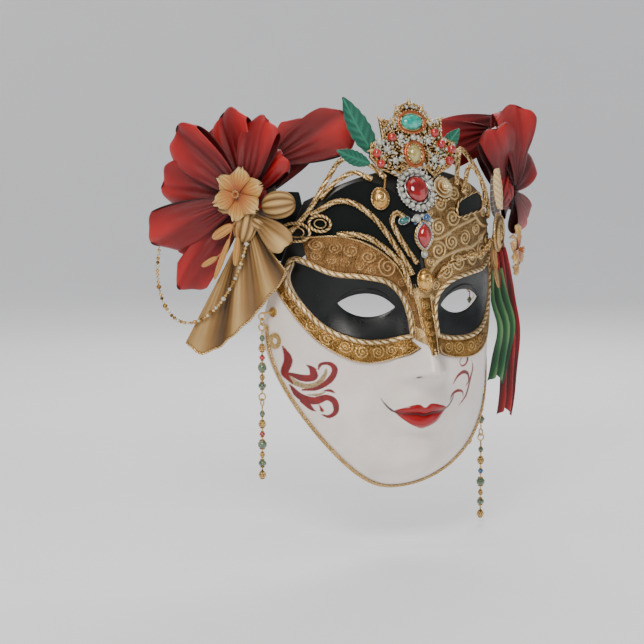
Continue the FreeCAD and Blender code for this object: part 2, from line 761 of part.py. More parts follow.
def stone_on(label, placement, wide, tall, high):
    """A cabochon on a given seat."""
    stone = doc.addObject("Part::Ellipsoid", f"{label}_body")
    stone.setExpression("Radius1", f"Dimensions.{high}")
    stone.setExpression("Radius2", f"Dimensions.{wide}")
    stone.setExpression("Radius3", f"Dimensions.{tall}")
    stone.Angle1 = 0
    stone.Angle2 = 90
    stone.Placement = placement
    return keep(stone, label)


def make_small_settings():
    """The drop's collar and the small blue stones under the ruby."""
    quarter = Placement(Vector(), Rotation(Vector(0, 0, 1), 90))
    place = seat(*RUBY_DROP, JEWEL_LIFT).multiply(quarter)
    wall, height = size("drop_setting_wall"), size("drop_setting_height")
    oval_ring("ruby_drop_setting", size("drop_radius_tall"), size("drop_radius_wide"), wall, height, place)
    members = []
    for i, (x, z) in enumerate(((-3.4, 53.0), (3.4, 53.2), (-12.5, 52.0))):
        bead = doc.addObject("Part::Sphere", f"sapphire_{i}")
        bead.setExpression("Radius", "Dimensions.sapphire_radius")
        bead.Placement = seat(x, z, JEWEL_LIFT + 2.2)
        members.append(bead)
    group("sapphire_stones", members)


# ---------------------------------------------------------------- tie eyelets


def make_eyelets():
    """Flanged brass tubes through the shell. The profile gives the tube and its front flange."""
    for side in (-1, 1):
        name = f"tie_eyelet_{mirror_name(side)}"
        profile = [
            ("eyelet_bore", "-eyelet_length"),
            ("eyelet_tube", "-eyelet_length"),
            ("eyelet_tube", "layer_gap"),
            ("eyelet_flange", "layer_gap"),
            ("eyelet_flange", "eyelet_flange_thickness"),
            ("eyelet_bore", "eyelet_flange_thickness"),
        ]
        keep(revolved(name, profile, eyelet_seat(side)), name)
        spot, out = eyelet_seat(side).Base, face_normal(side * EYELET_ACROSS, EYELET_UP)
        print(f"  {name}: {spot.x:.3f} {spot.y:.3f} {spot.z:.3f} along {out.x:.4f} {out.y:.4f} {out.z:.4f}")


# ---------------------------------------------------------------- rosettes at the temples


def rosette(side):
    """Frame of a rosette: local X across it, local Y up and local Z out of its front."""
    turn = math.radians(size("rosette_turn"))
    normal = Vector(side * math.sin(turn), -math.cos(turn), 0)
    centre = Vector(side * size("rosette_across"), size("rosette_back"), size("rosette_up"))
    return facing(centre, normal)


def on_rosette(side, across, up, out, turn=0.0):
    """Placement in a rosette's frame, turned about its local Z. Across is positive towards the nose."""
    local = Placement(Vector(-side * across, up, out), Rotation(Vector(0, 0, 1), turn))
    return rosette(side).multiply(local)


def make_wings():
    """Stiff card tabs glued behind the shell's edge. They carry the rosettes and the right bead strands."""
    top = -size("shell_thickness") - size("layer_gap")
    wings = []
    for side in (-1, 1):
        across = [66, 70, 74, 78, 82, 87]
        low = mirrored([(x, 26.0) for x in across], side)
        high = mirrored([(x, 70.0) for x in across], side)
        wings.append(patch_on_face(low, high, top - size("wing_thickness"), top, 7))
    feature("rosette_wings", Part.makeCompound(wings))


def make_pads():
    pads = []
    for side in (-1, 1):
        pad = doc.addObject("Part::Cylinder", f"rosette_pad_{mirror_name(side)}")
        pad.setExpression("Radius", "Dimensions.rosette_pad_radius")
        pad.setExpression("Height", "Dimensions.rosette_pad_thickness")
        pad.Placement = rosette(side)
        pads.append(pad)
    group("rosette_pads", pads)


def ellipsoid(name, placement, along, across, deep):
    """Part::Ellipsoid with its long axis on local X and its short one on local Z."""
    blob = doc.addObject("Part::Ellipsoid", name)
    blob.Radius2 = along
    blob.Radius3 = across
    if isinstance(deep, str):
        blob.setExpression("Radius1", f"Dimensions.{deep}")
    else:
        blob.Radius1 = deep
    blob.Placement = placement
    return blob


# Satin loops: turn about the rosette's centre, reach from it and half width. 0 degrees points to the nose.
LOOPS_LEFT = [
    (46, 36, 8), (74, 52, 11), (104, 56, 12), (138, 62, 13), (171, 60, 13), (203, 62, 12), (232, 74, 10),
]
LOOPS_RIGHT = [(60, 50, 11), (90, 56, 12), (120, 60, 13), (151, 54, 12), (182, 50, 11), (210, 48, 9)]
# Further loops sweep behind the top of the mask: centre, facing, turn, half length and half width.
CROWN_LOOPS = {
    -1: [((-50, -8, 100), (-0.35, -0.93, 0.1), 25, 27, 12), ((-58, 6, 92), (-0.35, -0.93, 0.1), 62, 24, 11)],
    1: [
        ((62, 4, 101), (0.2, -0.97, 0.1), 8, 30, 10),
        ((84, 22, 102), (0.2, -0.97, 0.1), 18, 32, 12),
        ((112, 42, 86), (0.3, -0.95, 0.0), -68, 26, 10),
    ],
}
LOOP_START = 12.0


def make_loops(side, loops):
    """Separate loops in two layers, so that each one stands clear of its neighbours."""
    name = mirror_name(side)
    blobs = []
    for i, (turn, reach, half_width) in enumerate(loops):
        middle = (LOOP_START + reach) / 2
        angle = math.radians(turn)
        spot = (middle * math.cos(angle), middle * math.sin(angle))
        spin = turn if side < 0 else 180 - turn
        layer = size("loop_layer_high") if i % 2 else size("loop_layer_low")
        place = on_rosette(side, *spot, layer, spin)
        half_length = (reach - LOOP_START) / 2
        blobs.append(ellipsoid(f"loop_{name}_{i}", place, half_length, half_width, "loop_depth"))
    for i, (centre, normal, turn, half_length, half_width) in enumerate(CROWN_LOOPS[side]):
        place = turned(facing(Vector(*centre), Vector(*normal)), turn)
        blobs.append(ellipsoid(f"crown_loop_{name}_{i}", place, half_length, half_width, "loop_depth"))
    group(f"red_loops_{name}", blobs)


def make_flower(label, place, stem):
    """Six petals in two layers of three round a stem with a round button."""
    members = []
    for i in range(6):
        drop = (i % 2) * size("petal_layer_step")
        turn = Placement(Vector(0, 0, -drop), Rotation(Vector(0, 0, 1), 60 * i + 20))
        petal = place.multiply(turn).multiply(Placement(Vector(size("petal_ring_radius"), 0, 0), Rotation()))
        members.append(ellipsoid(f"{label}_petal_{i}", petal, 7.6, 4.3, "petal_half_depth"))
        members[-1].setExpression("Radius2", "Dimensions.petal_half_length")
        members[-1].setExpression("Radius3", "Dimensions.petal_half_width")
    button = doc.addObject("Part::Sphere", f"{label}_button")
    button.setExpression("Radius", "Dimensions.flower_button_radius")
    button_lift = Vector(0, 0, size("flower_button_radius") + 1.0)
    button.Placement = place.multiply(Placement(button_lift, Rotation()))
    post = doc.addObject("Part::Cylinder", f"{label}_stem")
    post.setExpression("Radius", "Dimensions.flower_stem_radius")
    post.Height = stem + 2
    post.Placement = place.multiply(Placement(Vector(0, 0, -stem), Rotation()))
    group(label, members + [fused(f"{label}_post", [button, post])])


def plate_from(points, low, high, frame):
    """A flat plate with the given outline in a frame's XY plane."""
    wire = Part.makePolygon([Vector(x, y, low) for x, y in points + points[:1]])
    plate = Part.Face(wire).extrude(Vector(0, 0, high - low))
    plate.Placement = frame
    return plate


FAN_OUTLINE = [
    (1, -20), (10, -24), (27, -44), (17, -60), (2, -77), (-22, -96), (-40, -92), (-28, -74), (-9, -40),
]
SWAG_ROUTE = [
    (3, -27, 15.5), (-1, -42, 15.5), (-8, -56, 15.5), (-17, -68, 15), (-28, -77, 14.5), (-40, -80, 13.5),
]
SWAG_ROUTE += [(-50, -76, 12.8), (-57, -66, 12.2), (-60, -54, 12), (-60, -42, 12.4), (-58, -31.5, 13)]


def make_left_ornament():
    side = -1
    make_loops(side, LOOPS_LEFT)
    make_flower("gold_flower_left", on_rosette(side, -1.5, 2.5, 20.0), 17.8)
    pods = [
        ellipsoid("bow_pod_upper", on_rosette(side, 23, -4, 12.5, 8), 11.0, 8.6, 5.0),
        ellipsoid("bow_pod_lower", on_rosette(side, 20, -21, 18.4, -42), 13.0, 6.6, 4.0),
    ]
    group("bow_left", pods)
    feature("gold_fan_left", plate_from([(x, y) for x, y in FAN_OUTLINE], 8.2, 13.0, rosette(side)))
    buds = [
        ellipsoid("bud_upper", on_rosette(side, -12.5, -21, 17.6, 32), 8.0, 3.0, 1.6),
        ellipsoid("bud_lower", on_rosette(side, -13, -38, 17.6, 68), 14.0, 2.6, 1.6),
    ]
    group("bud_spray_left", buds)
    route = [rosette(side).multVec(Vector(*point)) for point in SWAG_ROUTE]
    feature("bead_swag_left", rounded_tube(route, size("swag_diameter")))


def rounded_tube(route, diameter):
    """A tube along straight runs that are joined by tangent arcs."""
    edges, start, length = [], route[0], 0.0
    for before, corner, after in zip(route, route[1:], route[2:]):
        back, ahead = (before - corner).normalize(), (after - corner).normalize()
        half_turn = (math.pi - back.getAngle(ahead)) / 2
        run = 0.45 * min((before - corner).Length, (after - corner).Length)
        radius = run / math.tan(half_turn)
        first, last = corner + back * run, corner + ahead * run
        middle_way = (back + ahead).normalize()
        middle = corner + middle_way * (radius / math.cos(half_turn) - radius)
        edges.append(Part.LineSegment(start, first).toShape())
        edges.append(Part.Arc(first, middle, last).toShape())
        length += (first - start).Length + 2 * half_turn * radius
        print(f"  arc radius {radius:.1f}")
        start = last
    edges.append(Part.LineSegment(start, route[-1]).toShape())
    length += (route[-1] - start).Length
    path = Part.Wire(edges)
    circle = Part.Circle(route[0], (route[1] - route[0]).normalize(), diameter / 2).toShape()
    tube = path.makePipeShell([Part.Wire([circle])], True, False)
    expected = math.pi * diameter**2 / 4 * length
    print(f"  tube length {length:.1f}, volume {tube.Volume:.1f}, section times length {expected:.1f}")
    return tube


def make_right_ornament():
    side = 1
    make_loops(side, LOOPS_RIGHT)
    make_flower("gold_flower_right", on_rosette(side, 4, -38, 9.0), 12.1)
    leaf = ellipsoid("tall_leaf", facing(Vector(75.0, -27.0, 68.5), Vector(0.5, -0.86, 0.1)), 5.5, 13.5, 1.4)
    keep(leaf, "tall_leaf_right")
    profile = [
        (0, 0),
        ("medallion_rim", 0),
        ("medallion_rim", "medallion_thickness"),
        ("medallion_floor", "medallion_thickness"),
        (0, "medallion_dome"),
    ]
    place = facing(Vector(72.6, -30.5, 41.0), Vector(0.72, -0.69, 0.0))
    keep(revolved("medallion_right", profile, place), "medallion_right")
    ribbons = {
        "gold_ribbon_right": [
            (90, -3, 46), (92.5, 1, 28), (98, 9, 12), (105, 17, -4), (111, 22, -19), (115, 25, -33),
        ],
        "green_ribbon_right": [(91, 1, 14), (94, 0, -4), (98, -1, -23), (98, 1, -42), (93, 3, -62)],
        "red_tail_right": [(105, 8, -10), (108, 8, -28), (109, 9, -48), (108, 10, -68), (105, 11, -86)],
    }
    widths = {"gold_ribbon_right": 15.0, "green_ribbon_right": 17.0, "red_tail_right": 16.0}
    for label, points in ribbons.items():
        feature(label, hanging_ribbon([Vector(*p) for p in points], widths[label]))


def hanging_ribbon(points, width):
    """A ribbon tail that hangs along a line and faces forwards and a little outwards."""
    curve = Part.BSplineCurve()
    curve.interpolate(points)
    first, last = curve.FirstParameter, curve.LastParameter
    centres = [curve.value(first + (last - first) * i / 12) for i in range(13)]
    sides, ups = [], []
    for i, centre in enumerate(centres):
        run = (centres[min(i + 1, 12)] - centres[max(i - 1, 0)]).normalize()
        across = run.cross(Vector(0.35, -1, 0)).normalize()
        sides.append(across * (width / 2))
        ups.append(across.cross(run).normalize() * (size("ribbon_thickness") / 2))
    return bar(centres, sides, ups)


def make_crest_leaves():
    """Small green leaves behind both ends of the crest."""
    leaves = [
        ellipsoid("leaf_a", turned(crest_place(-34, 27, -4), 118), 21, 8, 1.4),
        ellipsoid("leaf_b", turned(crest_place(-40, 8, -4), 160), 12, 5, 1.2),
        ellipsoid("leaf_c", turned(crest_place(31, 18, -4), 50), 9, 5, 1.2),
    ]
    group("crest_leaves", leaves)


# ---------------------------------------------------------------- bead strands

def loop_step():
    """Drop from one interlocked loop's centre to the next one's."""
    return 2 * size("loop_ring_radius") - 2 * size("wire_radius") - size("loop_play")


def wire_loop(name, centre, flat_in_x):
    """A wire loop that stands upright, flat in XZ if flat_in_x and in YZ if not."""
    loop = doc.addObject("Part::Torus", name)
    loop.setExpression("Radius1", "Dimensions.loop_ring_radius")
    loop.setExpression("Radius2", "Dimensions.wire_radius")
    axis = Vector(0, 1, 0) if flat_in_x else Vector(1, 0, 0)
    seam_aside = Rotation(Vector(0, 0, 1), 45)
    loop.Placement = Placement(centre, Rotation(Vector(0, 0, 1), axis) * seam_aside)
    return loop


def pierced_bead(name, centre, radius):
    """A round bead with its bore on the pin."""
    ball = doc.addObject("Part::Sphere", f"{name}_ball")
    ball.setExpression("Radius", f"Dimensions.{radius}")
    ball.Placement = Placement(centre, Rotation())
    bore = doc.addObject("Part::Cylinder", f"{name}_bore")
    bore.setExpression("Radius", "Dimensions.wire_radius + Dimensions.bead_bore_play")
    bore.Height = 12
    bore.Placement = Placement(centre - Vector(0, 0, 6), Rotation())
    bead = doc.addObject("Part::Cut", name)
    bead.Base = ball
    bead.Tool = bore
    return bead


def eye_pin_link(label, top, length, beads, flat_in_x, last):
    """A straight eye pin with its beads. The last link of a strand ends in a ball in place of a loop."""
    bottom = top - Vector(0, 0, length)
    radius = size("loop_ring_radius")
    parts = [wire_loop(f"{label}_top", top, flat_in_x)]
    if last:
        ball = doc.addObject("Part::Sphere", f"{label}_end")
        ball.setExpression("Radius", "Dimensions.bead_medium")
        ball.Placement = Placement(bottom, Rotation())
        parts.append(ball)
    else:
        parts.append(wire_loop(f"{label}_bottom", bottom, flat_in_x))
    pin_run = doc.addObject("Part::Cylinder", f"{label}_pin")
    pin_run.setExpression("Radius", "Dimensions.wire_radius")
    pin_run.Height = length - 2 * radius
    pin_run.Placement = Placement(bottom + Vector(0, 0, radius), Rotation())
    parts.append(pin_run)
    wire = fused(f"{label}_wire", parts)
    members = [wire]
    for i, (down, size_name) in enumerate(beads):
        members.append(pierced_bead(f"{label}_bead_{i}", top - Vector(0, 0, down), size_name))
    return group(label, members)


# Where each strand's hook loop hangs and the lengths of its links.
STRANDS = {
    "left": {"hook": Vector(-86.6, -12.6, -8.0), "links": (44.0, 46.0)},
    "right_front": {"hook": Vector(85.5, 8.6, 23.0), "links": (54.0, 55.0, 52.0)},
    "right_rear": {"hook": Vector(90.5, 33.0, 23.0), "links": (58.0, 60.0)},
}
BEAD_PATTERN = [(0.16, "bead_small"), (0.30, "bead_medium"), (0.44, "bead_small"), (0.58, "bead_large")]
BEAD_PATTERN += [(0.72, "bead_small"), (0.84, "bead_medium")]


def make_strands():
    for name, strand in STRANDS.items():
        centre = strand["hook"] - Vector(0, 0, loop_step())
        keep(wire_loop(f"strand_ring_{name}", centre, False), f"strand_ring_{name}")
        print(f"  strand {name}: hook wire at z {strand['hook'].z - size('loop_ring_radius'):.3f}")
        flat_in_x = True
        for i, length in enumerate(strand["links"], start=1):
            upper_wire = centre.z - size("loop_ring_radius")
            centre = centre - Vector(0, 0, loop_step())
            last = i == len(strand["links"])
            beads = [(share * length, radius) for share, radius in BEAD_PATTERN]
            eye_pin_link(f"strand_{name}_link_{i}", centre, length, beads, flat_in_x, last)
            print(f"    link {i} hangs on the wire at z {upper_wire:.3f}, axis {'Y' if flat_in_x else 'X'}")
            centre = centre - Vector(0, 0, length)
            flat_in_x = not flat_in_x


def make_hooks():
    """The fixed loops that carry the strands: one on the shell's cheek and two on the right wing."""
    hooks = []
    wing_top = -size("shell_thickness") - size("layer_gap")
    spots = {
        "left": (-77.0, -6.0, 0.0),
        "right_front": (80.8, 29.6, wing_top),
        "right_rear": (86.0, 29.6, wing_top),
    }
    for name, (x, z, lift) in spots.items():
        base = on_face(x, z, lift + size("layer_gap") / 3)
        out = face_normal(x, z)
        plate = doc.addObject("Part::Cylinder", f"hook_plate_{name}")
        plate.setExpression("Radius", "Dimensions.hook_plate_radius")
        plate.setExpression("Height", "Dimensions.hook_plate_thickness")
        plate.Placement = facing(base + out * 0.12, out)
        loop_centre = STRANDS[name]["hook"]
        loop = wire_loop(f"hook_loop_{name}", loop_centre, True)
        top = loop_centre + Vector(0, 0, size("loop_ring_radius"))
        run = top - base
        arm = doc.addObject("Part::Cylinder", f"hook_arm_{name}")
        arm.setExpression("Radius", "Dimensions.wire_radius * 1.4")
        start = base + out * (0.12 + size("hook_plate_thickness") / 2)
        arm.Height = (top - start).Length
        arm.Placement = Placement(start, Rotation(Vector(0, 0, 1), top - start))
        hooks.append(fused(f"strand_hook_{name}", [plate, loop, arm]))
    group("strand_hooks", hooks)


def main():
    make_shell()
    make_lining()
    make_brow_pad()
    make_eyelets()
    for side in (-1, 1):
        make_eye_parts(side)
        make_cheek_band(side)
    make_brow()
    make_nose_strip()
    make_cords()
    make_edge_braid()
    make_jewels()
    make_small_settings()
    make_crest()
    make_crest_leaves()
    make_wings()
    make_pads()
    make_left_ornament()
    make_right_ornament()
    make_hooks()
    make_strands()


main()
doc.recompute()
for obj in doc.Objects:
    if "Invalid" in obj.State or "Error" in obj.State:
        raise RuntimeError(f"{obj.Label} failed: {obj.State}")
for obj in SUBPARTS:
    shape = obj.Shape
    if shape.isNull() or not shape.isValid() or not shape.Solids:
        raise RuntimeError(f"{obj.Label} has no valid solid")
for obj in SUBPARTS:
    obj.Shape.exportStep(os.path.join(OUT, f"{obj.Label}.step"))
print(len(SUBPARTS), "sub-parts")
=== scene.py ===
import json
import math

import bpy
import numpy as np
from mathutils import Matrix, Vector

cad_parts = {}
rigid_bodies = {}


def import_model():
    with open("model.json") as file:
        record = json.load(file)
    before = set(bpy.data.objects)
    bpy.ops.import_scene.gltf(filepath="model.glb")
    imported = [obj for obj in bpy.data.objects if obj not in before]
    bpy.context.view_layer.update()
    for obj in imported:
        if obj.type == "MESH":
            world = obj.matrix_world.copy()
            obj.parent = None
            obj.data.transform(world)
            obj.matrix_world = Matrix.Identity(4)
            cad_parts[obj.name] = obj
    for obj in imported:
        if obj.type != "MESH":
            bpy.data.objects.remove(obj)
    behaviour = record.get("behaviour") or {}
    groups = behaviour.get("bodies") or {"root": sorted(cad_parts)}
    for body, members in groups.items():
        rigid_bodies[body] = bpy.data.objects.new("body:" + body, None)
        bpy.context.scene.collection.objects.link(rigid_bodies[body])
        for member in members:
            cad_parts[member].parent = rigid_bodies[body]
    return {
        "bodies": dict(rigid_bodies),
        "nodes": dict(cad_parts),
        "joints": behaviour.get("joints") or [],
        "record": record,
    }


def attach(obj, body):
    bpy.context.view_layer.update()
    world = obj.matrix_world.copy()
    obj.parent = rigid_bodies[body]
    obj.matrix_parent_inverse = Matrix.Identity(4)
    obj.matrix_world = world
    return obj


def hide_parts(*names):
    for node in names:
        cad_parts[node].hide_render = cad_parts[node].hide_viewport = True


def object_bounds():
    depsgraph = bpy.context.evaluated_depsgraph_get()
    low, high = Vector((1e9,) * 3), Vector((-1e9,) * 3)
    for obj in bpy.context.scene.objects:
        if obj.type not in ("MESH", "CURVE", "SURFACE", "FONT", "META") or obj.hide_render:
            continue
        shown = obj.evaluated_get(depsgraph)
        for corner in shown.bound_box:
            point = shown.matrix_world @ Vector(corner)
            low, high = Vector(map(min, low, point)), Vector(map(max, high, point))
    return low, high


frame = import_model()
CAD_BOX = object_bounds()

MM = 0.001
rng = np.random.default_rng(7)

# ---------------------------------------- camera, light and floor

PHOTO_AZIMUTH, PHOTO_ELEVATION = math.radians(-27.0), math.radians(6.0)
LOOK_AT = Vector((-51.0, -25.0, -12.0)) * MM
CAMERA_DISTANCE, FIELD_WIDTH, SENSOR = 1.4, 0.4025, 36.0


def make_camera():
    """The camera, at the viewpoint from which the mask is seen."""
    data = bpy.data.cameras.new("camera")
    data.sensor_width = SENSOR
    data.lens = SENSOR * CAMERA_DISTANCE / FIELD_WIDTH
    camera = bpy.data.objects.new("camera", data)
    bpy.context.collection.objects.link(camera)
    level = math.cos(PHOTO_ELEVATION)
    back = Vector((math.sin(PHOTO_AZIMUTH) * level, -math.cos(PHOTO_AZIMUTH) * level,
                   math.sin(PHOTO_ELEVATION)))
    camera.location = LOOK_AT + back * CAMERA_DISTANCE
    camera.rotation_euler = (-back).to_track_quat("-Z", "Y").to_euler()
    bpy.context.scene.camera = camera


def area_light(name, place, target, size, power, tint):
    """A square light that faces a target."""
    data = bpy.data.lights.new(name, "AREA")
    data.size = size
    data.energy = power
    data.color = tint
    light = bpy.data.objects.new(name, data)
    bpy.context.collection.objects.link(light)
    light.location = place
    light.rotation_euler = (Vector(target) - Vector(place)).to_track_quat("-Z", "Y").to_euler()


def make_lights():
    """A large key from the left, with a fill, a rim light and a top light."""
    world = bpy.data.worlds.new("studio")
    world.use_nodes = True
    world.node_tree.nodes["Background"].inputs["Color"].default_value = (0.86, 0.88, 0.92, 1)
    world.node_tree.nodes["Background"].inputs["Strength"].default_value = 0.30
    bpy.context.scene.world = world
    area_light("key", (-0.75, -1.05, 0.85), (0, 0, 0), 0.55, 17, (1.0, 0.96, 0.90))
    area_light("fill", (0.95, -0.95, 0.15), (0, 0, 0), 1.0, 2.6, (0.90, 0.94, 1.0))
    area_light("rim", (0.55, 0.8, 0.75), (0, 0, 0), 0.6, 8, (1.0, 0.97, 0.93))
    area_light("top", (-0.2, 0.0, 1.3), (0, 0, 0), 0.8, 4, (1.0, 1.0, 1.0))


# ---------------------------------------- node materials


class Nodes:
    """A principled material that is built up node by node."""

    def __init__(self, name):
        self.material = bpy.data.materials.new(name)
        self.material.use_nodes = True
        self.tree = self.material.node_tree
        self.shader = self.tree.nodes["Principled BSDF"]
        self.coords = self.tree.nodes.new("ShaderNodeTexCoord")

    def node(self, kind, **settings):
        """A new node with its inputs or settings given by name."""
        made = self.tree.nodes.new(kind)
        for key, value in settings.items():
            if key in made.inputs:
                made.inputs[key].default_value = value
            else:
                setattr(made, key, value)
        return made

    def link(self, output, target):
        """Joins two sockets."""
        self.tree.links.new(output, target)

    def noise(self, scale, detail=4.0, rough=0.55, stretch=None, distortion=0.0):
        """Cloudy noise from 0 to 1."""
        made = self.node("ShaderNodeTexNoise", Scale=scale, Detail=detail, Roughness=rough,
                         Distortion=distortion)
        self.link(self.place(stretch), made.inputs["Vector"])
        return made.outputs["Fac"]

    def voronoi(self, scale, feature="F1", stretch=None):
        """Distance within a pattern of cells."""
        made = self.node("ShaderNodeTexVoronoi", Scale=scale, feature=feature)
        self.link(self.place(stretch), made.inputs["Vector"])
        return made.outputs["Distance"]

    def wave(self, scale, distortion=0.0, detail=0.0, direction="Z", rotate=None):
        """Regular bands across one axis."""
        made = self.node("ShaderNodeTexWave", Scale=scale, Distortion=distortion, Detail=detail)
        made.bands_direction = direction
        self.link(self.place(None, rotate), made.inputs["Vector"])
        return made.outputs["Fac"]

    def place(self, stretch, rotate=None):
        if stretch is None and rotate is None:
            return self.coords.outputs["Object"]
        mapping = self.node("ShaderNodeMapping")
        if stretch is not None:
            mapping.inputs["Scale"].default_value = stretch
        if rotate is not None:
            mapping.inputs["Rotation"].default_value = rotate
        self.link(self.coords.outputs["Object"], mapping.inputs["Vector"])
        return mapping.outputs["Vector"]

    def attribute(self, name):
        """A value that the mesh carries at each point."""
        return self.node("ShaderNodeAttribute", attribute_name=name).outputs["Fac"]

    def ramp(self, source, stops):
        """Colours along a value."""
        made = self.node("ShaderNodeValToRGB")
        elements = made.color_ramp.elements
        while len(elements) < len(stops):
            elements.new(0.5)
        for element, (at, colour) in zip(elements, stops):
            element.position = at
            element.color = colour if len(colour) == 4 else (*colour, 1)
        self.link(source, made.inputs["Fac"])
        return made.outputs["Color"]

    def scale(self, source, low, high, from_low=0.0, from_high=1.0):
        made = self.node("ShaderNodeMapRange")
        made.inputs["From Min"].default_value = from_low
        made.inputs["From Max"].default_value = from_high
        made.inputs["To Min"].default_value = low
        made.inputs["To Max"].default_value = high
        self.link(source, made.inputs["Value"])
        return made.outputs["Result"]

    def mix(self, share, first, second, mode="MIX"):
        made = self.node("ShaderNodeMix", data_type="RGBA", blend_type=mode)
        for value, socket in ((share, 0), (first, 6), (second, 7)):
            if isinstance(value, (int, float)):
                made.inputs[socket].default_value = value
            elif isinstance(value, tuple):
                made.inputs[socket].default_value = (*value, 1) if len(value) == 3 else value
            else:
                self.link(value, made.inputs[socket])
        return made.outputs[2]

    def add(self, first, second, kind="ADD"):
        made = self.node("ShaderNodeMath", operation=kind)
        for i, value in enumerate((first, second)):
            if isinstance(value, (int, float)):
                made.inputs[i].default_value = value
            else:
                self.link(value, made.inputs[i])
        return made.outputs[0]

    def bump(self, height, depth, strength=1.0, base=None):
        """A surface normal from a height."""
        made = self.node("ShaderNodeBump", Distance=depth, Strength=strength)
        self.link(height, made.inputs["Height"])
        if base is not None:
            self.link(base, made.inputs["Normal"])
        return made.outputs["Normal"]

    def finish(self, colour=None, roughness=None, normal=None, **fixed):
        for value, socket in ((colour, "Base Color"), (roughness, "Roughness"), (normal, "Normal")):
            if value is None:
                continue
            if isinstance(value, (int, float)):
                self.shader.inputs[socket].default_value = value
            elif isinstance(value, tuple):
                self.shader.inputs[socket].default_value = (*value, 1)
            else:
                self.link(value, self.shader.inputs[socket])
        for key, value in fixed.items():
            self.shader.inputs[key.replace("_", " ")].default_value = value
        return self.material


def gold_metal(name, dark, middle, light, grain=900.0, rough=0.34, grit=0.00022, chased=True):
    """Antique gold: brighter on the high spots, brown in the hollows, with a fine granulated surface.

    A plain metal, not chased, has no high spots of its own and keeps its middle tone.
    """
    m = Nodes(name)
    clouds = m.noise(160, 5, 0.6)
    grains = m.scale(m.voronoi(grain), 1.0, 0.0, 0.0, 0.55)
    fine = m.noise(grain * 1.4, 3, 0.6)
    tone = m.add(m.scale(clouds, -0.26, 0.26), m.scale(grains, -0.16, 0.14))
    tone = m.add(tone, m.scale(m.attribute("relief"), -0.10, 1.0) if chased
                 else m.scale(grains, 0.62, 0.70))
    colour = m.ramp(tone, [(0.0, dark), (0.42, middle), (0.92, light)])
    normal = m.bump(m.add(grains, m.scale(fine, 0, 0.5)), grit)
    roughness = m.scale(m.noise(300, 4, 0.6), rough - 0.08, rough + 0.14, 0.3, 0.7)
    return m.finish(colour, roughness, normal, Metallic=0.92, Specular_IOR_Level=0.5)


def satin(name, dark, middle, light, weave=2600.0, rough=0.33, fold_scale=26.0):
    """Woven ribbon satin with a soft lengthwise lustre and small creases; its colour is painted lighter and
    darker by each point's painted shading.
    """
    m = Nodes(name)
    # Painted light and shade: folds is each point's painted shading, lighter on the bulges of the folds and
    # darker in their creases and roots.
    folds = m.attribute("fold")
    clouds = m.noise(fold_scale, 3, 0.5)
    tone = m.add(folds, m.scale(clouds, -0.16, 0.16))
    colour = m.ramp(tone, [(0.05, dark), (0.5, middle), (0.95, light)])
    threads = m.wave(weave, 0.4, 1.0, "Z")
    cross = m.wave(weave, 0.4, 1.0, "X")
    creases = m.noise(55, 5, 0.62, distortion=0.6)
    height = m.add(m.scale(threads, 0, 0.05), m.add(m.scale(cross, 0, 0.05), m.scale(creases, 0, 1.0)))
    normal = m.bump(height, 0.0009, 0.55)
    roughness = m.scale(m.noise(90, 3, 0.5), rough - 0.05, rough + 0.1, 0.3, 0.7)
    made = m.finish(colour, roughness, normal, Sheen_Weight=0.10, Sheen_Roughness=0.35,
                    Specular_IOR_Level=0.45)
    m.shader.inputs["Anisotropic"].default_value = 0.4
    return made


def gem(name, colours, depth_scale, transmission, rough=0.04, coat=1.0, ior=1.6, cloud=0.0):
    """A polished stone with drifting colour inside and small wear marks on its surface."""
    m = Nodes(name)
    body = m.noise(depth_scale, 5, 0.6, distortion=0.5)
    colour = m.ramp(body, [(0.30, colours[0]), (0.52, colours[1]), (0.72, colours[2])])
    scratches = m.noise(1500, 2, 0.5)
    normal = m.bump(m.add(m.scale(scratches, 0, 0.25), m.scale(body, 0, cloud)), 0.00008)
    roughness = m.scale(m.noise(420, 3, 0.5), rough, rough + 0.07, 0.35, 0.7)
    made = m.finish(colour, roughness, normal, Transmission_Weight=transmission, IOR=ior)
    m.shader.inputs["Coat Weight"].default_value = coat
    m.shader.inputs["Coat Roughness"].default_value = 0.03
    return made


GOLD_DARK, GOLD_MIDDLE, GOLD_LIGHT = (0.035, 0.014, 0.003), (0.42, 0.225, 0.062), (1.0, 0.76, 0.38)


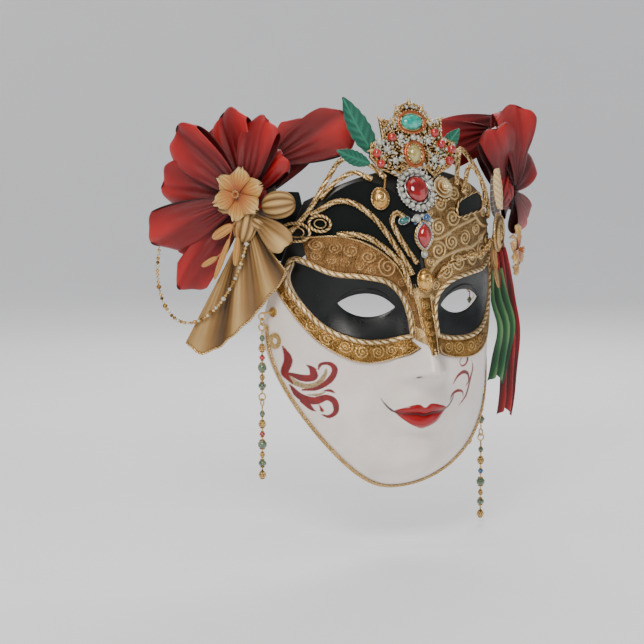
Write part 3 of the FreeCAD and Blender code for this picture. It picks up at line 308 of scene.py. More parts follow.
def face_material():
    """White gesso under a satin varnish, with lips and scrolls painted where the shell's attributes say."""
    m = Nodes("painted_gesso")
    mottling = m.noise(38, 5, 0.55)
    skin = m.ramp(mottling, [(0.25, (0.74, 0.66, 0.60)), (0.6, (0.86, 0.80, 0.75)),
                             (0.85, (0.92, 0.88, 0.84))])
    blush = m.attribute("blush")
    skin = m.mix(blush, skin, (0.72, 0.42, 0.36))
    smear = m.noise(900, 4, 0.7)
    edge = lambda field: m.scale(m.add(m.attribute(field), m.scale(smear, -0.35, 0.35)), 0.0, 1.0,
                                 -0.25, 0.25)
    gold_paint = m.ramp(m.noise(700, 3, 0.6), [(0.3, (0.20, 0.13, 0.05)), (0.7, (0.48, 0.35, 0.17))])
    red_paint = m.ramp(m.noise(260, 4, 0.6), [(0.3, (0.11, 0.0008, 0.002)), (0.7, (0.26, 0.002, 0.004))])
    dark_paint_and_nostril_shade = m.ramp(m.noise(500, 3, 0.6), [(0.3, (0.012, 0.008, 0.010)), (0.7, (0.05, 0.02, 0.02))])
    black = m.ramp(m.noise(60, 4, 0.6), [(0.3, (0.003, 0.004, 0.004)), (0.7, (0.010, 0.012, 0.012))])
    colour = m.mix(edge("crown"), m.mix(edge("scroll_gold"), skin, gold_paint), black)
    colour = m.mix(edge("scroll_red"), colour, red_paint)
    # Painted light and shade on the lips: darker red along the line between them, lighter red elsewhere and
    # lightest on the lower lip.
    colour = m.mix(edge("lips"), colour, m.mix(m.attribute("lip_light_and_shade"), (0.11, 0.0006, 0.0015),
                                               (0.38, 0.003, 0.005)))
    # The dark lines between the lips and at their corners are paint; the same dark colour on the nostrils is
    # painted shade.
    colour = m.mix(edge("lip_line_and_nostril_shade"), colour, dark_paint_and_nostril_shade)
    brush = m.noise(120, 6, 0.6, stretch=(1, 1, 0.35))
    craquelure = m.voronoi(85, "DISTANCE_TO_EDGE")
    lines = m.scale(craquelure, 0, 1, 0.0, 0.02)
    height = m.add(m.scale(brush, 0, 0.5), m.scale(lines, 0, 0.12))
    normal = m.bump(height, 0.00025, 0.5)
    wet = m.scale(m.attribute("lips"), 0.0, 1.0, -0.2, 0.4)
    roughness = m.add(m.scale(m.noise(60, 4, 0.6), 0.30, 0.44, 0.3, 0.7), m.scale(wet, 0.0, -0.16))
    made = m.finish(colour, roughness, normal, Subsurface_Weight=0.12, Subsurface_Scale=0.004)
    m.shader.inputs["Subsurface Radius"].default_value = (1.0, 0.5, 0.35)
    m.shader.inputs["Coat Weight"].default_value = 0.22
    m.shader.inputs["Coat Roughness"].default_value = 0.22
    return made


def simple(name, stops, noise_scale, rough, bump_scale, bump_depth, stretch=None, **fixed):
    """A matt or satin surface with mottled colour and a fine surface of its own."""
    m = Nodes(name)
    colour = m.ramp(m.noise(noise_scale, 5, 0.6, stretch=stretch), stops)
    normal = m.bump(m.noise(bump_scale, 4, 0.65, stretch=stretch), bump_depth)
    roughness = m.scale(m.noise(noise_scale * 2.3, 3, 0.5), rough - 0.06, min(rough + 0.1, 1.0), 0.3, 0.7)
    return m.finish(colour, roughness, normal, **fixed)


def felt(name, dark, light, sheen=0.4):
    """Matted or pile fibres, with painted shade darkening them in their depth."""
    m = Nodes(name)
    fibres = m.noise(1400, 6, 0.75, distortion=1.2)
    # Painted shade: the fibre pattern that raises the bump also darkens the colour where it is low.
    colour = m.ramp(m.add(m.scale(fibres, 0, 0.7), m.scale(m.noise(60, 4, 0.6), 0, 0.3)),
                    [(0.3, dark), (0.75, light)])
    normal = m.bump(fibres, 0.0006, 0.7)
    return m.finish(colour, m.scale(fibres, 0.85, 1.0), normal, Sheen_Weight=sheen, Sheen_Roughness=0.6,
                    Specular_IOR_Level=sheen)


def petal_material():
    """Silk petal: deep orange at the throat, pale at the lip, with darker veins."""
    m = Nodes("apricot_petal")
    along = m.attribute("along")
    vein = m.attribute("relief")
    base = m.ramp(m.add(along, m.scale(m.noise(220, 4, 0.6), -0.12, 0.12)),
                  [(0.0, (0.20, 0.030, 0.003)), (0.30, (0.42, 0.115, 0.016)), (0.72, (0.58, 0.31, 0.068)),
                   (1.0, (0.78, 0.56, 0.22))])
    colour = m.mix(m.scale(vein, 0.62, 0.0, 0.1, 0.6), base, (0.24, 0.075, 0.012))
    normal = m.bump(m.noise(1600, 4, 0.6), 0.00015)
    made = m.finish(colour, m.scale(m.noise(200, 3, 0.5), 0.42, 0.6), normal, Sheen_Weight=0.5,
                    Sheen_Roughness=0.4)
    m.shader.inputs["Subsurface Weight"].default_value = 0.15
    m.shader.inputs["Subsurface Scale"].default_value = 0.002
    return made


def materials():
    """Every material of the mask, by a short key."""
    gold = gold_metal("antique_gold", GOLD_DARK, GOLD_MIDDLE, GOLD_LIGHT)
    return {
        "face": face_material(),
        "pulp": simple("paper_pulp", [(0.3, (0.30, 0.25, 0.20)), (0.7, (0.46, 0.40, 0.33))], 60, 0.85, 240,
                       0.0006),
        "gold": gold,
        "cord": gold_metal("gold_cord", GOLD_DARK, (0.50, 0.285, 0.090), (1.0, 0.80, 0.46), 1500, 0.30,
                           0.00016),
        "leather": gold_metal("gilt_leather", (0.13, 0.062, 0.020), (0.66, 0.44, 0.19), (1.0, 0.87, 0.58),
                              1300, 0.42, 0.00014),
        "tan": gold_metal("tan_leather", (0.050, 0.022, 0.008), (0.34, 0.180, 0.066), (0.90, 0.66, 0.34),
                          1500, 0.44, 0.00016),
        "boss": gold_metal("amber_gold", (0.20, 0.075, 0.012), (0.62, 0.33, 0.085), (0.92, 0.66, 0.28),
                           500, 0.20, 0.00006),
        "silver": gold_metal("aged_silver", (0.09, 0.085, 0.08), (0.50, 0.49, 0.46), (0.90, 0.89, 0.85),
                             1200, 0.24, 0.0001),
        "copper": gold_metal("copper_enamel", (0.16, 0.03, 0.01), (0.52, 0.15, 0.06), (0.80, 0.36, 0.18),
                             900, 0.3, 0.00014),
        "lacquer": simple("black_lacquer", [(0.3, (0.003, 0.004, 0.004)), (0.7, (0.009, 0.011, 0.011))],
                          50, 0.30, 1300, 0.00012,
                          Specular_IOR_Level=0.32),
        "velvet": felt("black_velvet", (0.0030, 0.0050, 0.0048), (0.012, 0.016, 0.015), 0.06),
        "felt": felt("brown_felt", (0.10, 0.075, 0.06), (0.24, 0.19, 0.155)),
        "cotton": simple("cotton_cover", [(0.3, (0.50, 0.45, 0.38)), (0.7, (0.66, 0.61, 0.54))], 90, 0.85,
                         1800, 0.0003,
                         Sheen_Weight=0.3),
        "red": satin("red_satin", (0.016, 0.0003, 0.001), (0.17, 0.0012, 0.0025), (0.52, 0.008, 0.008)),
        "gold_satin": satin("gold_satin", (0.050, 0.022, 0.005), (0.30, 0.155, 0.042), (0.74, 0.50, 0.20)),
        "green": satin("green_satin", (0.002, 0.020, 0.006), (0.010, 0.095, 0.026), (0.20, 0.36, 0.13)),
        "cream": satin("cream_silk", (0.40, 0.22, 0.07), (0.68, 0.46, 0.20), (0.88, 0.72, 0.46), 2600,
                       0.42),
        "leaf": satin("green_leaf", (0.004, 0.045, 0.030), (0.010, 0.14, 0.085), (0.05, 0.32, 0.20),
                      2600, 0.4),
        "petal": petal_material(),
        "ruby": gem("ruby", [(0.11, 0.0005, 0.001), (0.34, 0.003, 0.004), (0.56, 0.02, 0.014)], 130, 0.0,
                    0.05),
        "turquoise": gem("turquoise", [(0.004, 0.16, 0.13), (0.012, 0.38, 0.30), (0.10, 0.60, 0.48)], 420,
                         0.0, 0.12, 0.7, 1.5, 0.5),
        "amber": gem("amber", [(0.20, 0.17, 0.03), (0.55, 0.44, 0.14), (0.82, 0.74, 0.42)], 520, 0.25,
                     0.06, 0.8, 1.6, 1.0),
        "coral": gem("coral", [(0.20, 0.002, 0.002), (0.44, 0.008, 0.006), (0.62, 0.035, 0.02)], 240, 0.0,
                     0.08),
        "sapphire": gem("sapphire", [(0.002, 0.02, 0.10), (0.006, 0.09, 0.30), (0.04, 0.30, 0.50)], 300,
                        0.25, 0.05),
        "teal": gem("teal_glass", [(0.002, 0.05, 0.05), (0.004, 0.16, 0.15), (0.03, 0.34, 0.30)], 300,
                    0.25, 0.06),
        "crystal": gem("crystal", [(0.42, 0.44, 0.34), (0.74, 0.75, 0.64), (0.96, 0.95, 0.88)], 700, 0.40,
                       0.03, 1.0, 1.75),
        "green_bead": gem("green_bead", [(0.03, 0.07, 0.03), (0.12, 0.20, 0.10), (0.40, 0.46, 0.30)], 300,
                          0.35, 0.05),
        "brass": gold_metal("wire_brass", (0.14, 0.075, 0.02), (0.55, 0.36, 0.13), (0.90, 0.70, 0.36), 700,
                            0.28, 0.00006, False),
    }


make_camera()
make_lights()
MATS = materials()

# ---------------------------------------- mesh building, in millimetres


def grid_faces(rows, columns, closed_rows=False, closed_columns=False):
    """Quads over a grid of points, closed round its rows or columns when asked."""
    index = np.arange(rows * columns).reshape(rows, columns)
    if closed_rows:
        index = np.vstack([index, index[:1]])
    if closed_columns:
        index = np.hstack([index, index[:, :1]])
    corners = (index[:-1, :-1], index[:-1, 1:], index[1:, 1:], index[1:, :-1])
    return np.stack([c.ravel() for c in corners], 1).tolist()


class Piece:
    """Gathers sub-shapes into one mesh, whose points carry relief, painted shading and along values."""

    def __init__(self):
        self.points, self.faces, self.slots, self.values, self.count = [], [], [], [], 0

    def add(self, points, faces, slot=0, relief=0.5, fold=0.5, along=0.5):
        points = np.asarray(points, float).reshape(-1, 3)
        values = np.empty((len(points), 3))
        for column, value in enumerate((relief, fold, along)):
            values[:, column] = np.asarray(value, float).ravel() if np.ndim(value) else value
        self.points.append(points)
        self.values.append(values)
        self.faces += [[i + self.count for i in face] for face in faces]
        self.slots += [slot] * len(faces)
        self.count += len(points)

    def grid(self, points, closed_rows=False, closed_columns=False, **values):
        points = np.asarray(points, float)
        self.add(points, grid_faces(*points.shape[:2], closed_rows, closed_columns), **values)

    def tube(self, path, radius, sides=8, closed=False, **values):
        points, relief = tube_points(path, radius, sides, closed=closed, **{k: values.pop(k) for k in
                                     ("lobes", "pitch", "groove", "flat", "ups") if k in values})
        faces = grid_faces(*points.shape[:2], closed, True)
        if not closed:
            last = (len(points) - 1) * sides
            faces += [list(range(sides))[::-1], [last + i for i in range(sides)]]
        values.setdefault("relief", relief)
        self.add(points, faces, **values)

    def ball(self, centre, radius, squash=1.0, frame=None, rings=6, sides=9, **values):
        up = np.linspace(-math.pi / 2, math.pi / 2, rings)[1:-1]
        around = np.linspace(0, 2 * math.pi, sides, endpoint=False)
        body = np.stack([np.outer(np.cos(up), np.cos(around)), np.outer(np.cos(up), np.sin(around)),
                         np.outer(np.sin(up), np.ones(sides)) * squash], -1).reshape(-1, 3)
        points = np.vstack([body, [[0, 0, -squash], [0, 0, squash]]]) * radius
        points = points @ (np.eye(3) if frame is None else frame[:3, :3]).T + np.asarray(centre, float)
        faces = grid_faces(rings - 2, sides, False, True)
        low, high, top = len(body), len(body) + 1, (rings - 3) * sides
        faces += [[low, (i + 1) % sides, i] for i in range(sides)]
        faces += [[high, top + i, top + (i + 1) % sides] for i in range(sides)]
        self.add(points, faces, **values)

    def build(self, name, materials, nodes=(), body="mask", extra=None, flip=False):
        """Makes the mesh object, gives it its materials and hides the CAD nodes that it stands in for."""
        mesh = bpy.data.meshes.new(name)
        mesh.from_pydata((np.vstack(self.points) * MM).tolist(), [], self.faces)
        mesh.polygons.foreach_set("use_smooth", [True] * len(mesh.polygons))
        mesh.polygons.foreach_set("material_index", self.slots)
        values = np.vstack(self.values)
        for column, key in enumerate(("relief", "fold", "along")):
            mesh.attributes.new(key, "FLOAT", "POINT").data.foreach_set("value", values[:, column])
        for key, field in (extra or {}).items():
            mesh.attributes.new(key, "FLOAT", "POINT").data.foreach_set("value",
                    np.asarray(field, float).ravel())
        if flip:
            mesh.flip_normals()
        for material in materials:
            mesh.materials.append(MATS[material])
        mesh.update()
        obj = bpy.data.objects.new(name, mesh)
        bpy.context.collection.objects.link(obj)
        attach(obj, body)
        if nodes:
            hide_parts(*nodes)
        return obj


def normalise(vectors):
    """Vectors brought to a length of one."""
    return vectors / np.maximum(np.linalg.norm(vectors, axis=-1, keepdims=True), 1e-9)


def carried_normals(tangents):
    """A normal for each point of a path that turns as little as possible from point to point."""
    start = np.cross(tangents[0], (0, 0, 1) if abs(tangents[0][2]) < 0.8 else (1, 0, 0))
    ups = [start / np.linalg.norm(start)]
    for tangent in tangents[1:]:
        up = ups[-1] - tangent * np.dot(ups[-1], tangent)
        ups.append(up / np.linalg.norm(up))
    return np.array(ups)


def tube_points(path, radius, sides, closed=False, lobes=0, pitch=6.0, groove=0.0, flat=1.0, ups=None):
    """Rings of points round a path. Lobes that turn about it make a twisted cord."""
    path = np.asarray(path, float)
    wrapped = np.vstack([path[-1], path, path[0]]) if closed else np.vstack([path[0], path, path[-1]])
    tangents = normalise(wrapped[2:] - wrapped[:-2])
    ups = carried_normals(tangents) if ups is None else normalise(np.asarray(ups, float))
    sideways = normalise(np.cross(tangents, ups))
    along = np.concatenate([[0], np.cumsum(np.linalg.norm(np.diff(path, axis=0), axis=1))])
    theta = np.linspace(0, 2 * math.pi, sides, endpoint=False)
    swell = np.ones((len(path), sides))
    if lobes:
        turns = along[:, None] / pitch
        if closed:
            total = along[-1] + np.linalg.norm(path[0] - path[-1])
            turns = turns * (max(1, round(total / pitch)) / (total / pitch))
        swell = 1 - groove * (1 - np.abs(np.cos((lobes * theta[None, :] + 2 * math.pi * turns) / 2)))
    reach = np.broadcast_to(radius, (len(path),))[:, None] * swell
    points = path[:, None] + reach[..., None] * (np.cos(theta)[None, :, None] * sideways[:, None]
                                                 + flat * np.sin(theta)[None, :, None] * ups[:, None])
    relief = (swell - (1 - groove)) / groove if groove else swell * 0.5
    return points, np.clip(relief, 0, 1)


def smooth(points, count, closed=False):
    """Evenly spaced points on a smooth curve through the given ones."""
    points = np.asarray(points, float)
    ext = np.vstack([points[-1], points, points[:2]]) if closed else \
        np.vstack([2 * points[0] - points[1], points, 2 * points[-1] - points[-2]])
    samples = []
    share = np.linspace(0, 1, 16, endpoint=False)[:, None]
    for a, b, c, d in zip(ext, ext[1:], ext[2:], ext[3:]):
        samples.append(0.5 * (2 * b + (c - a) * share + (2 * a - 5 * b + 4 * c - d) * share ** 2
                              + (3 * b - a - 3 * c + d) * share ** 3))
    line = np.vstack(samples + [points[:1] if closed else points[-1:]])
    gone = np.concatenate([[0], np.cumsum(np.linalg.norm(np.diff(line, axis=0), axis=1))])
    wanted = np.linspace(0, gone[-1], count, endpoint=not closed)
    return np.stack([np.interp(wanted, gone, line[:, i]) for i in range(line.shape[1])], 1)


def frame_at(point, normal, upward=(0, 0, 1), turn=0.0):
    """A 4 by 4 frame: local Z along the normal, local Y towards the given upward direction."""
    z = np.asarray(normal, float) / np.linalg.norm(normal)
    y = np.asarray(upward, float) - z * np.dot(upward, z)
    y = y / np.linalg.norm(y)
    x = np.cross(y, z)
    c, s = math.cos(math.radians(turn)), math.sin(math.radians(turn))
    made = np.eye(4)
    made[:3, 0], made[:3, 1], made[:3, 2], made[:3, 3] = c * x + s * y, c * y - s * x, z, point
    return made


def placed(frame_matrix, points):
    """Points given in a frame's own axes, taken into the mask's."""
    return np.asarray(points, float) @ frame_matrix[:3, :3].T + frame_matrix[:3, 3]


# ---------------------------------------- the face surface, as in the CAD

# Each feature: across, up, spread across, spread up, height.
FEATURES = [(32, -3, 17, 12, -6), (28, 19, 22, 8, 2.5), (47, -30, 18, 15, 4), (11.5, -41, 6, 6, 7),
            (0, -66, 22, 16, 4), (0, -63, 19, 4.5, 4), (0, -73.5, 15, 5, 5), (0, -84, 16, 5, -4),
            (0, -99, 18, 13, 9), (0, 50, 40, 30, 2)]
OVAL_HALF_WIDTH, OVAL_HALF_HEIGHT, OVAL_MIDDLE, JAW_TAPER = 80.0, 102.0, -18.0, 0.15


def jaw_share(up):
    """How far down towards the chin a height is: 0 at eye level, 1 at the chin."""
    return np.maximum(0, -up / OVAL_HALF_HEIGHT)


def face_y(x, z):
    """Depth of the shell's front at a place on the face."""
    x, z = np.asarray(x, float), np.asarray(z, float)
    up = z - OVAL_MIDDLE
    half = 84 * (1 - JAW_TAPER * 0.8 * np.minimum(jaw_share(up), 1) ** 2)
    left = 1 - np.abs(x / half) ** 2.4 - np.abs(up / np.where(up > 0, 130, 112)) ** 5
    knee = math.sqrt(0.10)
    height = 88 * np.maximum(np.where(left > 0.10, np.sqrt(np.maximum(left, 0.01)),
                                      knee + (left - 0.10) / (2 * knee)), -0.5)
    along = (10 - z) / 50
    inside = np.clip(along, 0, 1)
    ridge = np.where(along < 0, 4 * np.exp(-((z - 10) / 12) ** 2),
                     np.where(along < 1, 4 + 19 * inside ** 1.2, 23 * np.exp(-((z + 40) / 7) ** 2)))
    height = height + ridge * np.exp(-(x / (8 + 2.5 * inside)) ** 2)
    for across, rise, wide, tall, deep in FEATURES:
        height = height + deep * np.exp(-((np.abs(x) - across) / wide) ** 2 - ((z - rise) / tall) ** 2)
    return 29 - height


def face_normal(x, z):
    """Outward direction of the shell's front at a place on the face."""
    step = 0.4
    dx = (face_y(x + step, z) - face_y(x - step, z)) / (2 * step)
    dz = (face_y(x, z + step) - face_y(x, z - step)) / (2 * step)
    return normalise(np.stack([dx, -np.ones_like(dx), dz], -1))


def on_face(x, z, lift=0.0):
    """A point on the shell's front, lifted along its normal."""
    x, z = np.broadcast_arrays(np.asarray(x, float), np.asarray(z, float))
    lift = np.broadcast_to(lift, x.shape)
    return np.stack([x, face_y(x, z), z], -1) + face_normal(x, z) * lift[..., None]


def face_frame(x, z, lift=0.0, turn=0.0):
    """Axes of a piece that sits on the face, its Z along the normal."""
    return frame_at(on_face(x, z, lift), face_normal(x, z), turn=turn)


def oval_place(u, v):
    """Place on the face for square coordinates from -1 to 1."""
    rise = np.maximum(0, v)
    k = 0.5 - 0.14 * rise ** 2 * (3 - 2 * rise)
    taper = 1 - JAW_TAPER * jaw_share(v * np.sqrt(1 - k * u ** 2) * OVAL_HALF_HEIGHT) ** 2
    return (u * np.sqrt(1 - k * v ** 2) * OVAL_HALF_WIDTH * taper,
            OVAL_MIDDLE + v * np.sqrt(1 - k * u ** 2) * OVAL_HALF_HEIGHT)


def almond(side, grow=0.0, count=160):
    """The eye hole: two arcs that meet at its corners."""
    half_w, half_h = 17.0 + grow, 7.5 + grow
    radius = (half_w ** 2 + half_h ** 2) / (2 * half_h)
    x = half_w * np.cos(np.linspace(0, math.pi, count // 2, endpoint=False))
    z = np.sqrt(radius ** 2 - x ** 2) - (radius - half_h)
    loop = np.vstack([np.stack([x, z], 1), np.stack([-x, -z], 1)])
    c, s = math.cos(math.radians(5)), side * math.sin(math.radians(5))
    return np.stack([loop[:, 0] * c - loop[:, 1] * s + side * 33, loop[:, 0] * s + loop[:, 1] * c], 1)


def inside_loop(x, z, loop):
    """Whether places lie inside a closed outline."""
    inside = np.zeros(np.shape(x), bool)
    for (x1, z1), (x2, z2) in zip(loop, np.roll(loop, -1, axis=0)):
        crossing = (z1 > z) != (z2 > z)
        inside ^= crossing & (x < (x2 - x1) * (z - z1) / (z2 - z1 + 1e-12) + x1)
    return inside


def cut_sheet(x, z, lift, holes, relief=None):
    """Points and faces of a layer on the face with clean holes: the rim points are drawn onto the outline."""
    gone = np.zeros(x.shape, bool)
    for loop in holes:
        inside = inside_loop(x, z, loop)
        grown = inside.copy()
        for axis, step in ((0, 1), (0, -1), (1, 1), (1, -1)):
            grown &= np.roll(inside, step, axis)
        for i, j in np.argwhere(inside & ~grown):
            nearest = loop[np.argmin((loop[:, 0] - x[i, j]) ** 2 + (loop[:, 1] - z[i, j]) ** 2)]
            x[i, j], z[i, j] = nearest
        gone |= grown
    points = on_face(x, z, lift if relief is None else lift + relief)
    dropped = gone.ravel()
    keep_faces = [f for f in grid_faces(*x.shape) if not any(dropped[i] for i in f)]
    used = np.zeros(dropped.size, bool)
    used[np.unique(np.array(keep_faces))] = True
    renumber = np.cumsum(used) - 1
    return points.reshape(-1, 3)[used], [[int(renumber[i]) for i in f] for f in keep_faces], used


def stroke_field(x, z, points, widths):
    """Signed distance in mm from a brush stroke of changing half width: positive inside it."""
    line = smooth(np.column_stack([points, widths]), 70)
    best = np.full(x.shape, -9.0)
    for px, pz, w in line:
        best = np.maximum(best, w - np.sqrt((x - px) ** 2 + (z - pz) ** 2))
    return best


def spiral_relief(x, z, scrolls):
    """Raised spirals: each one has a middle, a size and a hand."""
    relief = np.zeros(np.shape(x))
    for cx, cz, reach, hand in scrolls:
        r = np.hypot(x - cx, z - cz)
        angle = np.arctan2(z - cz, (x - cx) * hand) / (2 * math.pi)
        phase = (r / (reach * 0.42) + angle) % 1.0
        ridge = np.exp(-((phase - 0.5) / 0.17) ** 2)
        relief = np.maximum(relief, np.where(r < reach, ridge, 0) * np.clip((reach - r) / (0.12 * reach),
                0, 1))
    return relief


def ring_seat(piece, frame_matrix, wide, tall, radius, out=0.0, count=48, **values):
    """A ring of wire, oval in the frame's XY plane."""
    angle = np.linspace(0, 2 * math.pi, count, endpoint=False)
    path = placed(frame_matrix,
                  np.stack([wide * np.cos(angle), tall * np.sin(angle), np.full(count, out)], 1))
    ups = np.broadcast_to(frame_matrix[:3, 2], path.shape)
    piece.tube(path, radius, values.pop("sides", 8), closed=True, ups=ups, **values)


def stone(piece, frame_matrix, wide, tall, high, pointed=False, bulge=2.0, **values):
    """A domed stone. A pointed one has a tip at its top and foot."""
    around = np.linspace(0, 2 * math.pi, 40, endpoint=False)
    rows = []
    for t in np.linspace(0, math.pi / 2, 12)[:-1]:
        grow = math.cos(t) ** (2 / bulge)
        x = wide * grow * np.cos(around) * ((1 - 0.55 * np.abs(np.sin(around)) ** 2.2) ** 0.8 if pointed
                                            else 1)
        rows.append(np.stack([x, tall * grow * np.sin(around), np.full(40, high * math.sin(t))], 1))
    rows.append(np.stack([x * 0.02, rows[-1][:, 1] * 0.02, np.full(40, high)], 1))
    rows.insert(0, rows[0] - (0, 0, 0.8))
    points = placed(frame_matrix, np.array(rows).reshape(-1, 3)).reshape(len(rows), 40, 3)
    faces = grid_faces(len(rows), 40, False, True)
    faces += [list(range(40))[::-1], [(len(rows) - 1) * 40 + i for i in range(40)]]
    piece.add(points, faces, **values)


def granules(piece, frame_matrix, places, radius, **values):
    """Small soldered balls, half sunk in what they sit on."""
    for x, y in places:
        piece.ball(placed(frame_matrix, (x, y, radius * 0.35)), radius * rng.uniform(0.85, 1.15), rings=5,
                   sides=6,
                   frame=frame_matrix, relief=rng.uniform(0.45, 0.9), **values)

# ---------------------------------------- the bead swag, a hanging cord

LEFT_ROSETTE = frame_at((-88, -2, 66), (-math.sin(math.radians(48.7)), -math.cos(math.radians(48.7)), 0))
RIGHT_ROSETTE = frame_at((88, -2, 66), (math.sin(math.radians(48.7)), -math.cos(math.radians(48.7)), 0))
SWAG_ROUTE = [(3, -27, 15.5), (-1, -42, 15.5), (-8, -56, 15.5), (-17, -68, 15), (-28, -77, 14.5),
              (-40, -80, 13.5),
              (-50, -76, 12.8), (-57, -66, 12.2), (-60, -54, 12), (-60, -42, 12.4), (-58, -31.5, 13)]


def make_swag():
    """The bead chain that hangs free from the bow round to the lowest loop on the left."""
    route = placed(LEFT_ROSETTE, SWAG_ROUTE)
    curve = bpy.data.curves.new("bead_swag_thread", "CURVE")
    curve.dimensions = "3D"
    curve.resolution_u = 24
    spline = curve.splines.new("NURBS")
    spline.points.add(len(route) - 1)
    for point, place in zip(spline.points, route):
        point.co = (*(place * MM), 1)
    spline.order_u = 3
    spline.use_endpoint_u = True
    thread = bpy.data.objects.new("bead_swag_thread", curve)
    bpy.context.collection.objects.link(thread)
    bpy.context.view_layer.update()
    line = bpy.data.meshes.new_from_object(thread)
    path = smooth(np.array([v.co for v in line.vertices]) / MM, 1200)
    gone = np.concatenate([[0], np.cumsum(np.linalg.norm(np.diff(path, axis=0), axis=1))])
    curve.bevel_depth = 0.55 * MM
    curve.bevel_resolution = 2
    curve.materials.append(MATS["brass"])
    beads = Piece()
    step, at, number = 2.5, 1.2, 0
    while at < gone[-1] - 1:
        i = int(np.searchsorted(gone, at))
        run = path[min(i + 3, len(path) - 1)] - path[max(i - 3, 0)]
        large = number % 5 == 0
        beads.ball(path[i], 1.65 if large else 1.2, frame=frame_at((0, 0, 0), run), squash=0.86, rings=7,
                   sides=10,
                   relief=rng.uniform(0.35, 0.9), slot=0 if number % 3 else 1)
        at += step * (1.12 if large else 1)
        number += 1
    chain = beads.build("bead_swag_beads", ["gold", "crystal"])
    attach(thread, "mask")
    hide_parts("bead_swag_left")


# ---------------------------------------- the face shell and its paint

EYES = {-1: almond(-1), 1: almond(1)}
MOUTH_HALF, MOUTH_UP = 19.0, -68.0
# Above this line the shell is painted black, behind the brow's ornament.
CROWN_LINE = [(-82, 8), (-73, 22), (-62, 34), (-48, 41), (-32, 35), (-20, 25), (-12, 14), (-6, 3), (0, 2),
              (6, 3), (14, 9),
              (24, 17), (38, 20), (54, 23), (69, 31), (82, 34)]
# Brush strokes on the left cheek: places on the face and half widths.
RED_STROKES = [
    ([(-74, -27), (-72, -35), (-73, -44), (-70, -50)], [0.4, 1.6, 1.4, 0.4]),
    ([(-66, -53.5), (-60, -52), (-54.5, -46.5), (-52.5, -40), (-55, -36), (-59, -36.5), (-60, -40)],
     [0.6, 1.2, 1.7, 1.5, 1.2, 0.9, 0.4]),
    ([(-71, -44), (-66, -46), (-62, -45), (-62.5, -40), (-65, -37.5)], [1.0, 2.2, 2.0, 1.4, 0.3]),
    ([(-71, -51), (-67, -57.5), (-61, -60), (-55.5, -57.5), (-51.5, -60), (-50.5, -66), (-53.5, -69.5),
      (-57, -68.5)],
     [0.4, 1.8, 2.4, 1.9, 1.7, 1.4, 1.1, 0.4]),
    ([(-65, -60.5), (-62, -65), (-60, -66.5)], [1.9, 1.0, 0.3]),
    ([(-57.5, -53.5), (-54, -53), (-51.5, -54.5)], [0.2, 0.9, 0.3]),
    ([(-57, -66), (-58.5, -62.5)], [0.9, 0.3]),
]
GOLD_STROKES = [([(-73, -42), (-70, -48.5), (-64.5, -51), (-59.5, -48.5), (-57, -43.5), (-56.5, -39.5)],
                 [0.5, 1.5, 1.6, 1.4, 1.0, 0.4]),
                ([(-64, -56.5), (-59.5, -56), (-56, -54)], [0.3, 0.8, 0.3])]
# Thinner strokes on the right cheek.
RIGHT_STROKES = [
    ([(29, -31.5), (33, -31), (36.5, -34), (36.5, -39), (33, -41), (30.5, -38.5), (32, -35.5)],
     [0.3, 0.7, 0.9, 0.8, 0.6, 0.4, 0.3]),
    ([(25.5, -52), (29, -47.5), (34, -45), (38.5, -46.5), (40, -51), (37, -54.5)],
     [0.3, 0.8, 1.2, 1.0, 0.7, 0.3]),
    ([(22, -61.5), (25, -58), (29.5, -56.5), (34, -57.5), (35, -61)], [0.3, 0.7, 1.0, 0.7, 0.3]),
    ([(41, -38), (43, -43), (42, -49), (38, -60), (31, -66)], [0.3, 0.7, 0.9, 0.8, 0.3]),
]


def mouth_height(x):
    """Height of the line between the lips."""
    return MOUTH_UP + 1.1 * np.exp(-(x / 3.2) ** 2) * -1 + 2.2 * (np.abs(x) / MOUTH_HALF) ** 3


def lip_fields(x, z):
    """Distances inside the lips and along their line, and how far the lips stand proud."""
    share = np.clip(1 - (np.abs(x) / MOUTH_HALF) ** 2, 0, None)
    middle = mouth_height(x)
    top = middle + 6.6 * share ** 0.85 * (1 - 0.22 * np.exp(-(x / 2.6) ** 2))
    foot = middle - 8.6 * share ** 1.15
    lips = np.where(np.abs(x) < MOUTH_HALF, np.minimum(top - z, z - foot), -3)
    line = 0.55 * np.clip(share, 0, 1) ** 0.4 - np.abs(z - middle)
    line = np.where(np.abs(x) < MOUTH_HALF, line, -3)
    for side in (-1, 1):
        line = np.maximum(line,
                          stroke_field(x, z, [(side * 17, -67), (side * 21, -64.6), (side * 24.6, -60.6),
                                              (side * 26.5, -57)],
                                             [0.5, 0.6, 0.45, 0.12]))
    shape = 1.3 * np.clip(lips / 3.0, 0, 1) ** 0.6 - 1.5 * np.exp(-((z - middle) / 1.1) ** 2) * share
    return lips, line, np.where(lips > -1, shape, 0)


